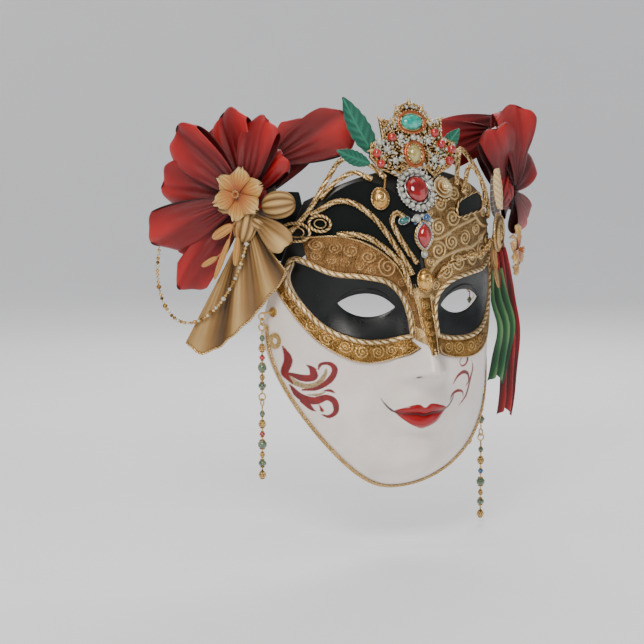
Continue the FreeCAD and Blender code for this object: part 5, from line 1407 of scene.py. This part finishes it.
def make_crest():
    """The pointed crest plate with its granulation, stones and bezels."""
    outline = np.array(CREST_OUTLINE + [(-x, y) for x, y in CREST_OUTLINE[-2:0:-1]], float)
    plate = Piece()
    count = len(outline)
    for out, order in ((0.0, -1), (1.6, 1)):
        plate.add(placed(CREST, np.column_stack([outline, np.full(count, out)])),
                  [list(range(count))[::order]], relief=0.2)
    walls = np.array([placed(CREST, np.column_stack([outline, np.full(count, out)])) for out in (1.6, 0.0)])
    plate.grid(walls, closed_columns=True, relief=0.2)
    edge = np.vstack([np.linspace(a, b, 12, endpoint=False)
                      for a, b in zip(outline, np.roll(outline, -1, 0))])
    for shrink, thick in ((0.985, 0.75), (0.90, 0.45)):
        middle = np.array([0, 16])
        rope = placed(CREST, np.column_stack([middle + (edge - middle) * shrink, np.full(len(edge), 1.7)]))
        plate.tube(rope, thick, 7, closed=True, lobes=2, pitch=1.7, groove=0.35, slot=1,
                   ups=np.broadcast_to(CREST[:3, 2], rope.shape))
    settings = [(0, AMBER_UP, 8.2), (0, TURQUOISE_UP, 9.4)] + [(x, y, 2.6)
            for x, y in CRYSTALS] + [(x, y, 3.1) for x, y in CORALS]
    spots = []
    for _ in range(5200):
        x, y = rng.uniform(-31, 31), rng.uniform(-5, 42)
        if not inside_loop(np.array([x]), np.array([y]), outline * 0.97 + (0, 0.5))[0]:
            continue
        if any(math.hypot(x - sx, y - sy) < sr for sx, sy, sr in settings):
            continue
        if any(math.hypot(x - px, y - py) < 1.02 for px, py in spots):
            continue
        spots.append((x, y))
    for number, (x, y) in enumerate(spots):
        sparkle = number % 4 == 0
        size = rng.uniform(0.85, 1.25) if sparkle else rng.uniform(0.5, 0.78)
        plate.ball(crest_point(x, y, 1.7 + rng.uniform(0, 0.9)), size, rings=5, sides=7, frame=CREST,
                   relief=rng.uniform(0.4, 1.0), slot=2 if sparkle else 1)
    for x, y, reach, hand in ((-9, 33, 3.4, 1), (9, 33, 3.4, -1), (-17, 25.5, 3.6, -1), (17, 26, 3.2, 1),
                              (-22, 5.5, 2.6, 1), (9, -0.5, 2.8, 1), (-8.8, 0, 2.8, -1)):
        turns = np.linspace(0, 3.4 * math.pi, 60)
        r = reach * turns / turns[-1]
        coil = np.stack([x + hand * r * np.cos(turns), y + r * np.sin(turns),
                         2.4 + 0.8 * (1 - r / reach)], 1)
        plate.tube(placed(CREST, coil), 0.42, 7, lobes=2, pitch=1.2, groove=0.3, slot=1)
    for x, y in ((0, 42), (22, 31), (-22, 31), (9, 38), (-9, 38), (30.5, 11), (-30.5, 11), (13, 30),
                 (-13, 30)):
        away = np.array([x, y - 17.0])
        away = away / np.linalg.norm(away)
        for i in range(4):
            spot = np.array([x, y]) - away * (1.6 - i * 1.15)
            plate.ball(crest_point(*spot, 1.9), 1.25 - 0.24 * i, rings=6, sides=8, slot=1, relief=0.8)
    plate.build("crest_plate_filigree", ["gold", "cord", "crystal"], ["crest_plate"])

    gems = Piece()
    seat = frame_at(crest_point(0, AMBER_UP, 2.6), CREST[:3, 2], CREST[:3, 1])
    stone(gems, seat, 4.4, 5.6, 3.2)
    gems.build("amber_cabochon", ["amber"], ["amber_stone"])
    bezel = Piece()
    ring_seat(bezel, seat, 5.0, 6.1, 0.55, 0.4, slot=1, lobes=1, pitch=1.1, groove=0.25)
    ring_seat(bezel, seat, 6.4, 7.5, 1.15, -0.1, slot=0)
    ring_seat(bezel, seat, 7.7, 8.6, 0.5, -0.8, slot=1, lobes=2, pitch=1.3, groove=0.3)
    bezel.build("amber_bezel_ring", ["copper", "cord"], ["amber_bezel"])
    seat = frame_at(crest_point(0, TURQUOISE_UP, 2.6), CREST[:3, 2], CREST[:3, 1])
    gems = Piece()
    stone(gems, seat, 7.4, 4.9, 3.8)
    gems.build("turquoise_cabochon", ["turquoise"], ["turquoise_stone"])
    bezel = Piece()
    ring_seat(bezel, seat, 7.9, 5.4, 0.5, 0.4, slot=1, lobes=1, pitch=1.0, groove=0.25)
    ring_seat(bezel, seat, 9.0, 6.5, 1.0, 0.0, slot=0)
    for i in range(30):
        a = 2 * math.pi * i / 30
        bezel.ball(placed(seat, (9.9 * math.cos(a), 7.4 * math.sin(a), 0.0)), 0.78, rings=5, sides=7,
                   slot=1 if i % 2 else 0, relief=0.8)
    bezel.build("turquoise_bezel_ring", ["copper", "cord"], ["turquoise_bezel"])

    crystals = Piece()
    for x, y in CRYSTALS:
        crystals.ball(crest_point(x, y, 2.6), 2.2, squash=0.85, frame=CREST, rings=6, sides=8, slot=0)
        for i in range(6):
            a = math.pi / 3 * i
            crystals.ball(crest_point(x + 2.5 * math.cos(a), y + 2.5 * math.sin(a), 2.3), 0.62, rings=5,
                          sides=6, slot=1, relief=0.8)
    crystals.build("crystal_rounds", ["crystal", "silver"], ["crystal_stones"])
    corals = Piece()
    for x, y in CORALS:
        corals.ball(crest_point(x, y, 2.9), 2.8, rings=12, sides=18, slot=0)
        ring_seat(corals, frame_at(crest_point(x, y, 1.9), CREST[:3, 2]), 2.5, 2.5, 0.5, count=26, slot=1,
                  lobes=2, pitch=1.2, groove=0.3)
    corals.build("coral_rounds", ["coral", "cord"], ["coral_beads"])


def leaf(piece, frame_matrix, half_long, half_wide, curl=2.5, ribs=7, **values):
    """A pointed leaf along local X with a midrib, side veins and a curled tip."""
    t, w = np.meshgrid(np.linspace(0, 1, 30), np.linspace(-1, 1, 17), indexing="ij")
    width = half_wide * np.sin(math.pi * t ** 0.85) ** 0.75 * (1 + 0.05 * np.cos(ribs * 2 * math.pi * t))
    veins = 0.5 + 0.5 * np.cos(2 * math.pi * (ribs * t - 1.2 * np.abs(w)))
    out = curl * (t - 0.4) ** 2 * 2.4 - 0.16 * half_wide * (1 - w ** 2) + 0.22 * veins
    local = np.stack([(2 * t - 1) * half_long, w * width, out], -1)
    # Painted light and shade: the raised veins lighter towards the midrib and the leaf's edges darker; the
    # midrib below is painted light too.
    piece.grid(placed(frame_matrix, local.reshape(-1, 3)).reshape(local.shape),
               fold=0.25 + 0.5 * veins * (1 - 0.5 * np.abs(w)), **values)
    rib = np.stack([(2 * t[:, 0] - 1) * half_long * 0.96, np.zeros(30),
                    curl * (t[:, 0] - 0.4) ** 2 * 2.4 - 0.16 * half_wide + 0.35], 1)
    piece.tube(placed(frame_matrix, rib), 0.42, 6, fold=0.7)


def turned(frame_matrix, place, degrees):
    """A frame moved and turned within another one's XY plane."""
    c, s = math.cos(math.radians(degrees)), math.sin(math.radians(degrees))
    made = frame_matrix.copy()
    made[:3, 0] = frame_matrix[:3, 0] * c + frame_matrix[:3, 1] * s
    made[:3, 1] = frame_matrix[:3, 1] * c - frame_matrix[:3, 0] * s
    made[:3, 3] = placed(frame_matrix, place)
    return made


def make_leaves():
    """The three green leaves by the crest and the tall ribbed leaf on the right."""
    piece = Piece()
    for (x, y, out), turn, long, wide in (((-34, 27, -4), 118, 21, 8), ((-40, 8, -4), 160, 12, 5),
                                          ((31, 18, -4), 50, 9, 5)):
        leaf(piece, turned(CREST, (x, y, out), turn), long, wide * 0.98)
    obj = piece.build("crest_leaves_silk", ["leaf"], ["crest_leaves"])
    thicken(obj, 0.5, 0)
    tall = Piece()
    seat = turned(frame_at((75, -27, 68.5), (0.5, -0.86, 0.1)), (0, 0, 0), 90)
    t, w = np.meshgrid(np.linspace(0, 1, 34), np.linspace(-1, 1, 25), indexing="ij")
    width = 5.4 * np.sin(math.pi * (0.06 + 0.90 * t)) ** 0.5
    ridges = 0.5 + 0.5 * np.cos(2 * math.pi * (7 * t - 1.1 * np.abs(w)))
    local = np.stack([(2 * t - 1) * 13.4 * (1 - 0.05 * w ** 2), w * width,
                      1.4 - 1.7 * w ** 2 + 0.7 * ridges], -1)
    # Painted light and shade: the tall leaf's raised ridges lighter than the grooves between them.
    tall.grid(placed(seat, local.reshape(-1, 3)).reshape(local.shape), fold=0.3 + 0.5 * ridges,
              relief=0.3 + 0.6 * ridges, along=0.4 + 0.5 * t)
    obj = tall.build("tall_leaf_gilt", ["cream"], ["tall_leaf_right"])
    thicken(obj, 0.6, 0)


# ---------------------------------------- rosettes of satin ribbon loops

LOOPS_LEFT = [(46, 36, 8), (74, 52, 11), (104, 56, 12), (138, 62, 13), (171, 60, 13), (203, 69, 12),
              (232, 74, 10)]
LOOPS_RIGHT = [(60, 50, 11), (90, 56, 12), (120, 60, 13), (151, 54, 12), (182, 50, 11), (210, 48, 9)]
LAYER_LOW, LAYER_HIGH = 6.0, 13.2
# Loops that sweep behind the top of the mask: centre, facing, turn, half length and half width.
CROWN_LOOPS = {
    -1: [((-50, -8, 100), (-0.35, -0.93, 0.1), 25, 27, 12),
         ((-58, 6, 92), (-0.35, -0.93, 0.1), 62, 24, 11)],
    1: [((62, 4, 101), (0.2, -0.97, 0.1), 8, 30, 10), ((84, 22, 102), (0.2, -0.97, 0.1), 18, 32, 12),
        ((112, 42, 86), (0.3, -0.95, 0.0), -68, 26, 10)],
}


def ribbon_loop(piece, frame_matrix, start, reach, half_wide, depth, phase, tilt=0.0, **values):
    """A loop of ribbon along local X, gathered at its root and open at its sides."""
    s, w = np.meshgrid(np.linspace(0, 1, 72), np.linspace(-1, 1, 29), indexing="ij")
    turn = 2 * math.pi * s
    share = 0.5 * (1 - np.cos(turn))
    spread = 0.16 + 0.84 * np.sin(share * math.pi / 2) ** 0.9
    radial = start + (reach - start) * share * (1 - 0.16 * np.abs(w) ** 2.6 - 0.025 * np.cos(5 * w + phase))
    gather = np.cos(4.0 * math.pi * w + phase) * (1 - share) ** 1.6
    crease = np.exp(-((w - 0.35 * math.sin(phase * 2.3) - 0.25 * (share - 0.5)) / 0.16) ** 2) * share * (1
            - 0.55 * share)
    billow = np.cos(1.1 * math.pi * w + 0.8 * phase) * share
    out = -depth * np.sin(turn) * (0.25 + 0.75 * share) + 1.0 * gather
    out = out - 2.4 * crease * np.sign(-np.sin(turn)) + 0.9 * billow
    side = w * half_wide * spread + 1.2 * np.sin(2.4 * share + phase) * share
    lean = math.radians(tilt) * share
    side, out = side * np.cos(lean) - out * np.sin(lean), side * np.sin(lean) + out * np.cos(lean)
    local = np.stack([radial, side, out], -1)
    # Painted light and shade: the loop lighter towards its far bulge and on its upper layer, darker at its
    # root and in its crease.
    upper = np.where(turn > math.pi, 1.0, 0.0)
    lit = 0.04 + 0.62 * share ** 0.9 * (0.35 + 0.65 * upper) + 0.10 * gather
    lit = lit - 0.30 * crease + 0.14 * billow + 0.10 * upper
    piece.grid(placed(frame_matrix, local.reshape(-1, 3)).reshape(local.shape), fold=np.clip(lit, 0, 1),
               **values)


def make_rosettes():
    """The red satin loops of both sides and the felt pads that they are sewn to."""
    for side, name, base, loops in ((-1, "left", LEFT_ROSETTE, LOOPS_LEFT),
                                    (1, "right", RIGHT_ROSETTE, LOOPS_RIGHT)):
        piece = Piece()
        for i, (turn, reach, half) in enumerate(loops):
            spin = turn if side < 0 else 180 - turn
            layer = LAYER_HIGH if i % 2 else LAYER_LOW
            tilt = -20 if side < 0 else -56 * math.sin(math.radians(spin))
            ribbon_loop(piece, turned(base, (0, 0, layer), spin), 4.0, reach, half * 1.22, 5.2,
                        i * 1.7, tilt)
            if i:
                between = (turn + loops[i - 1][0]) / 2
                spin = between if side < 0 else 180 - between
                ribbon_loop(piece, turned(base, (0, 0, 3.4), spin), 4.0,
                            0.86 * min(reach, loops[i - 1][1]), half * 1.1, 2.2, i * 2.9, 8 * side)
        for i, (centre, normal, turn, half_long, half_wide) in enumerate(CROWN_LOOPS[side]):
            seat = turned(frame_at(centre, normal), (0, 0, 0), turn if side < 0 else turn + 180)
            ribbon_loop(piece, seat, -half_long, half_long, half_wide * 1.4, 4.6, 0.6 + 1.9 * i, 14 * side)
        pod(piece, turned(base, (0, 0, 7.0), 35), 13, 11.5, 4.6, 9)
        pod(piece, turned(base, (0, 0, 9.5), -50), 7.5, 6.5, 3.6, 7)
        obj = piece.build(f"red_satin_loops_{name}", ["red"], [f"red_loops_{name}"])
        thicken(obj, 0.3, 0)
    pads = Piece()
    for base in (LEFT_ROSETTE, RIGHT_ROSETTE):
        around = np.linspace(0, 2 * math.pi, 60, endpoint=False)
        rows = [placed(base, np.stack([r * np.cos(around), r * np.sin(around), np.full(60, h)], 1))
                for r, h in ((0.1, 0.0), (16.4, 0.0), (17, 0.3), (17, 1.7), (16.4, 2.0), (0.1, 2.0))]
        pads.grid(np.array(rows), closed_columns=True)
        for a in np.arange(0, 2 * math.pi, 0.22):
            stitch = [(r * math.cos(a), r * math.sin(a), h) for r, h in ((15.2, 2.05), (16.2, 2.35),
                    (17.1, 1.6), (17.1, 0.4))]
            pads.tube(placed(base, stitch), 0.22, 5, slot=1)
    pads.build("rosette_pads_felt", ["felt", "cotton"], ["rosette_pads"], flip=True)


def flower(name, base, node, reach=17.0):
    """Six veined petals in two layers round a throat with stamens."""
    piece = Piece()
    for i in range(6):
        a = math.radians(60 * i + 14)
        layer = 1.5 if i % 2 else 0.0
        t, w = np.meshgrid(np.linspace(0, 1, 26), np.linspace(-1, 1, 25), indexing="ij")
        width = 6.2 * np.sin(math.pi * np.clip(0.03 + 0.84 * t ** 1.5, 0,
                                               1)) ** 0.95 * (1 + 0.07 * np.cos(9 * t + i))
        notch = 0.10 * np.exp(-(w / 0.2) ** 2) + 0.24 * w ** 4 + 0.03 * np.cos(11 * w + 2 * i)
        radial = reach * t * (1 - notch * t ** 3)
        veins = (0.5 + 0.5 * np.cos(7 * math.pi * w * (1 - 0.25 * t))) * (1 - 0.3 * t)
        out = layer - 1.0 + 4.2 * t - 3.4 * t ** 2.4 + 0.20 * veins + 1.0 * np.cos(3.6 * math.pi * w
                + i) * t ** 3 - 2.6 * w ** 2 * t
        side = w * width
        local = np.stack([radial * math.cos(a) - side * math.sin(a),
                          radial * math.sin(a) + side * math.cos(a), out], -1)
        piece.grid(placed(base, local.reshape(-1, 3)).reshape(local.shape), relief=0.15 + 0.75 * veins,
                   along=t, fold=0.5)
    for i in range(9):
        a = 2 * math.pi * i / 9
        stem = [(0.4 * math.cos(a), 0.4 * math.sin(a), 0.4), (1.1 * math.cos(a), 1.1 * math.sin(a), 3.0),
                (2.0 * math.cos(a), 2.0 * math.sin(a), 4.4)]
        piece.tube(placed(base, smooth(stem, 8)), 0.2, 5, along=0.3, relief=0.6)
        piece.ball(placed(base, stem[-1]), 0.5, rings=5, sides=6, along=0.8, relief=0.9)
    obj = piece.build(name, ["petal"], [node])
    thicken(obj, 0.35, 0)
    return obj


def pod(piece, frame_matrix, half_long, half_wide, half_deep, ribs=8, **values):
    """A puffed gathered pod along local X whose pleats meet at its ends."""
    t, a = np.meshgrid(np.linspace(0, math.pi, 34), np.linspace(0, 2 * math.pi, 96, endpoint=False),
                       indexing="ij")
    pleat = np.abs(np.cos(ribs * a / 2))
    grow = np.clip(np.sin(t), 0.035, 1) ** 0.85 * (1 - 0.17 * (1 - pleat) ** 1.5)
    local = np.stack([-half_long * np.cos(t), half_wide * grow * np.cos(a),
                      half_deep * grow * np.sin(a)], -1)
    # Painted light and shade: the pleats' crests lighter, their valleys and the pod's gathered ends darker.
    piece.grid(placed(frame_matrix, local.reshape(-1, 3)).reshape(local.shape), closed_columns=True,
               fold=0.18 + 0.62 * pleat * np.sin(t) ** 0.4, relief=0.05 + 0.9 * pleat, **values)


def make_left_ornament():
    """Flower, bow, pleated fan and buds on the left rosette."""
    flower("apricot_flower", turned(LEFT_ROSETTE, (-1.5, 2.5, 18.6), 8), "gold_flower_left")
    bow = Piece()
    pod(bow, turned(LEFT_ROSETTE, (23, -4, 12.5), 8), 11, 8.8, 5.2, 9)
    pod(bow, turned(LEFT_ROSETTE, (12, -15.5, 17.4), -30), 5.0, 4.0, 3.4, 6)
    pod(bow, turned(LEFT_ROSETTE, (1.0, -15.5, 12.6), -104), 12.5, 8.2, 3.8, 9)
    pod(bow, turned(LEFT_ROSETTE, (-9, -4, 13.4), 190), 9.5, 7.0, 3.4, 8)
    lower = turned(LEFT_ROSETTE, (8.0, -9.5, 18.4), -42)
    ribbon_loop(bow, lower, 2, 30.5, 8.4, 4.4, 0.4, -14)
    obj = bow.build("gold_bow", ["gold_satin", "cord"], ["bow_left"])
    thicken(obj, 0.3, 0)

    fan = Piece()
    outer = smooth([(27, -44), (23, -52), (12, -65), (-3, -81), (-22, -95.5), (-33, -97.5),
                    (-41, -91)], 260)
    root = smooth([(9.5, -22.5), (3, -20.5), (-3, -24), (-9, -34)], 260)
    v = np.linspace(0, 1, 44)[:, None]
    u = np.linspace(0, 1, 260)[None, :]
    pleat = np.cos(2 * math.pi * (3.1 * u ** 0.8 + 0.10 * v)) * (0.75 + 0.25 * np.cos(9 * u))
    fine = np.cos(2 * math.pi * (17 * u + 0.3 * np.sin(7 * u)))
    place = root[None] * (1 - v[..., None]) + outer[None] * v[..., None]
    scallop = 1 + 0.006 * np.cos(2 * math.pi * 7 * u) * v ** 4
    out = 10.3 + (0.6 + 2.8 * v ** 0.7) * pleat * (1 - 0.45 * v ** 3) + 0.45 * fine * (1 - v) ** 1.5
    local = np.stack([place[..., 0] * scallop, place[..., 1] * scallop, out], -1)
    # Painted light and shade: the fan lighter on its pleats' crests and darker in their valleys, and a little
    # lighter towards its hem.
    fan.grid(placed(LEFT_ROSETTE, local.reshape(-1, 3)).reshape(local.shape),
             fold=np.clip(0.34 + 0.34 * pleat + 0.12 * fine * (1 - v) + 0.10 * v, 0, 1))
    cloth = fan.build("gold_fan_cloth", ["gold_satin"], ["gold_fan_left"])
    thicken(cloth, 0.3, 0)
    hem = Piece()
    rim = placed(LEFT_ROSETTE, local[-1, ::2])
    hem.tube(rim, 0.85, 9, lobes=2, pitch=2.2, groove=0.35)
    side_line = placed(LEFT_ROSETTE, local[4:, 0])
    hem.tube(side_line, 0.5, 7, lobes=2, pitch=1.8, groove=0.3)
    trim = hem.build("gold_fan_hem", ["cord"])

    buds = Piece()
    for (x, y, out), turn, long, wide in (((-12.5, -21, 17.6), 32, 8, 3.2),
                                          ((-13, -38, 17.6), 68, 14, 1.9), ((-3.5, -33, 17.0), 84, 9, 2.2),
                                          ((-22, -40, 16.6), 30, 6, 1.9)):
        seat = turned(LEFT_ROSETTE, (x, y, out), turn)
        pod(buds, seat, long, wide, wide * 0.8, 6, along=0.62)
        buds.tube(placed(seat, smooth([(long * 0.9, 0, 0), (long + 3, 0.5, -0.6), (long + 7, 1.6, -1.2)],
                                      12)), 0.5, 6, fold=0.4, along=0.4, relief=0.5)
    buds.build("bud_spray_silk", ["petal"], ["bud_spray_left"])


def make_right_ornament():
    """Flower, medallion, leaves and the three hanging ribbons on the right."""
    flower("cream_flower", turned(RIGHT_ROSETTE, (-4, -38, 16.2), 20), "gold_flower_right",
           16.6)
    disc = Piece()
    seat = frame_at((72.6, -30.5, 41), (0.72, -0.69, 0))
    r, a = np.meshgrid(np.linspace(0.03, 1, 26), np.linspace(0, 2 * math.pi, 120, endpoint=False),
                       indexing="ij")
    swirl = 0.5 + 0.5 * np.cos(2 * math.pi * 2.2 * r - a)
    local = np.stack([12.0 * r * np.cos(a), 12.0 * r * np.sin(a),
                      1.0 + 2.2 * np.sqrt(1 - r ** 2 * 0.96) + 0.7 * swirl * (1 - r ** 4)], -1)
    disc.grid(placed(seat, local.reshape(-1, 3)).reshape(local.shape), closed_columns=True,
              relief=0.25 + 0.65 * swirl)
    base = np.stack([[(12.0 * rr * math.cos(b), 12.0 * rr * math.sin(b), 0.0) for b in a[0]]
                     for rr in (1.0, 0.03)])
    disc.grid(placed(seat, base.reshape(-1, 3)).reshape(base.shape), closed_columns=True, relief=0.3)
    ring_seat(disc, seat, 11.9, 11.9, 1.0, 1.0, count=90, lobes=2, pitch=2.2, groove=0.3, slot=1)
    turns = np.linspace(0.6, 4.4 * math.pi, 140)
    reach = 10.4 * turns / turns[-1]
    coil = np.stack([reach * np.cos(turns), reach * np.sin(turns),
                     1.5 + 2.2 * np.sqrt(1 - (reach / 12.4) ** 2)], 1)
    disc.tube(placed(seat, coil), 0.62, 8, lobes=2, pitch=1.8, groove=0.3, slot=1)
    disc.build("medallion_spiral", ["gold", "cord"], ["medallion_right"])

    spray = Piece()
    for place, normal, turn, long, wide in (((77, -21, 24), (0.72, -0.69, 0.1), 80, 12, 4.6),
                                            ((80, -17, 14), (0.72, -0.69, 0.1), 104, 11, 4.0),
                                            ((74, -25.5, 26), (0.6, -0.8, 0.1), 98, 9, 3.4)):
        leaf(spray, turned(frame_at(place, normal), (0, 0, 0), turn), long, wide, relief=0.5, along=0.75)
    obj = spray.build("cream_leaf_spray", ["petal"])
    thicken(obj, 0.4, 0)

    for name, route, width, material, node, waves in (
            ("gold_ribbon_tail", [(90, -3, 46), (92.5, 1, 28), (98, 9, 12), (105, 17, -4), (111, 22, -19),
                                  (115, 25, -33)], 15, "gold_satin", "gold_ribbon_right", 3),
            ("green_ribbon_tail", [(91, 1, 14), (94, 0, -4), (98, -1, -23), (98, 1, -42), (93, 3, -62)],
             17, "green", "green_ribbon_right", 2),
            ("red_ribbon_tail", [(94, 1, 27), (99.5, 4, 11), (103, 6.5, -1), (105.5, 8, -12),
                                 (108, 8, -28), (109, 9, -48), (108, 10, -68), (105, 11, -86)], 16, "red",
             "red_tail_right", 2)):
        piece = Piece()
        line = smooth(route, 120)
        runs = normalise(np.gradient(line, axis=0))
        across = normalise(np.cross(runs, (0.35, -1, 0)))
        out = np.cross(across, runs)
        w = np.linspace(-1, 1, 31)[None, :]
        t = np.linspace(0, 1, 120)[:, None]
        narrow = 0.62 + 0.38 * np.clip(t * 4, 0, 1)
        folds = np.cos(2 * math.pi * (1.15 * w + 0.25 * waves * t)) * (1.5 - 0.5 * t)
        swallow = 5.0 * (1 - np.abs(w)) * np.clip((t - 0.8) / 0.2, 0, 1) * -1
        points = line[:, None] + across[:, None] * (w * width / 2 * narrow)[..., None] * 0.98 \
            + out[:, None] * (folds
                              + 0.8 * np.cos(2 * math.pi * waves
                                             * t))[..., None] + runs[:, None] * swallow[..., None]
        # Painted light and shade: each tail lighter where its folds and waves bulge out and darker where they
        # sink.
        piece.grid(points, fold=np.clip(0.45 + 0.22 * folds + 0.1 * np.cos(2 * math.pi * waves * t), 0, 1))
        obj = piece.build(name, [material], [node])
        long = np.linalg.norm(np.diff(line, axis=0), axis=1).sum() * MM
        thicken(obj, 0.35, 0)


# ---------------------------------------- bead strands on their jointed links

STRANDS = {"left": ((-86.6, -12.6, -8.0), (44.0, 46.0)),
           "right_front": ((85.5, 8.6, 23.0), (54.0, 55.0, 52.0)),
           "right_rear": ((90.5, 33.0, 23.0), (58.0, 60.0))}
RING_RADIUS, WIRE_RADIUS, LOOP_STEP = 2.2, 0.5, 3.28
BEADS = [(0.16, 1.9, 1), (0.30, 2.6, 0), (0.44, 1.9, 2), (0.58, 3.1, 1), (0.72, 1.9, 0), (0.84, 2.6, 2)]


def wire_loop(piece, centre, flat_in_x):
    """A round loop of wire, across X or across Y."""
    angle = np.linspace(0, 2 * math.pi, 32, endpoint=False)
    first = np.cos(angle) * RING_RADIUS
    zero = np.zeros(32)
    ring = np.stack([first, zero, np.sin(angle) * RING_RADIUS] if flat_in_x
                    else [zero, first, np.sin(angle) * RING_RADIUS], 1)
    piece.tube(np.asarray(centre) + ring, WIRE_RADIUS, 8, closed=True, slot=0)


def bead(piece, centre, radius, kind, accent):
    """Faceted glass, a granulated metal ball or a smooth stone, between two caps."""
    if kind == 1:
        piece.ball(centre, radius, squash=0.95, rings=6, sides=8, slot=1)
    elif kind == 0:
        piece.ball(centre, radius * 0.86, rings=9, sides=14, slot=2)
        for level in (-0.6, 0.0, 0.6):
            ring = math.cos(level)
            for i in range(9):
                a = 2 * math.pi * (i + level) / 9
                spot = centre + radius * 0.84 * np.array([ring * math.cos(a), ring * math.sin(a),
                                                          math.sin(level)])
                piece.ball(spot, radius * 0.2, rings=5, sides=6, slot=2, relief=0.9)
    else:
        piece.ball(centre, radius, squash=0.8, rings=9, sides=12, slot=accent)
    for sign in (-1, 1):
        cap = centre + np.array([0, 0, sign * radius * 0.86])
        ring_seat(piece, frame_at(cap, (0, 0, 1), (0, 1, 0)), radius * 0.42, radius * 0.42, radius * 0.16,
                  count=16, sides=6, slot=2)


def make_strands():
    """The beads and wires of each strand's links, each on its own body."""
    accents = {"left": 3, "right_front": 4, "right_rear": 1}
    for name, (hook, links) in STRANDS.items():
        centre = np.array(hook) - (0, 0, LOOP_STEP)
        flat_in_x = True
        for number, length in enumerate(links, start=1):
            centre = centre - (0, 0, LOOP_STEP)
            bottom = centre - (0, 0, length)
            piece = Piece()
            wire_loop(piece, centre, flat_in_x)
            piece.tube(np.linspace(centre - (0, 0, RING_RADIUS), bottom + (0, 0, RING_RADIUS), 6),
                       WIRE_RADIUS, 8)
            if number == len(links):
                bead(piece, bottom, 2.6, 0, 3)
            else:
                wire_loop(piece, bottom, flat_in_x)
            for i, (share, radius, kind) in enumerate(BEADS):
                bead(piece, centre - (0, 0, share * length), radius, kind, accents[name] if i == 2 else 1)
            body = f"strand_{name}_link_{number}"
            piece.build(f"{body}_beads", ["brass", "green_bead", "gold", "coral", "sapphire"], [body],
                        body=body)
            centre = bottom
            flat_in_x = not flat_in_x


CARRIED = {"rosette_wings": "velvet", "tie_eyelet_left": "brass", "tie_eyelet_right": "brass",
           "strand_hooks": "brass",
           "strand_ring_left": "brass", "strand_ring_right_front": "brass",
           "strand_ring_right_rear": "brass"}


def dress_carried_nodes():
    """Materials for the CAD nodes that are shown as they are."""
    for node, material in CARRIED.items():
        mesh = frame["nodes"][node].data
        mesh.materials.clear()
        mesh.materials.append(MATS[material])


make_floor()
make_swag()
make_face()
make_lining()
make_brow_pad()
make_panels()
make_bands()
make_brow()
make_nose_strip()
make_cords()
make_edge_braid()
make_jewels()
make_rose_shell()
make_crest()
make_leaves()
make_rosettes()
make_left_ornament()
make_right_ornament()
make_strands()
dress_carried_nodes()
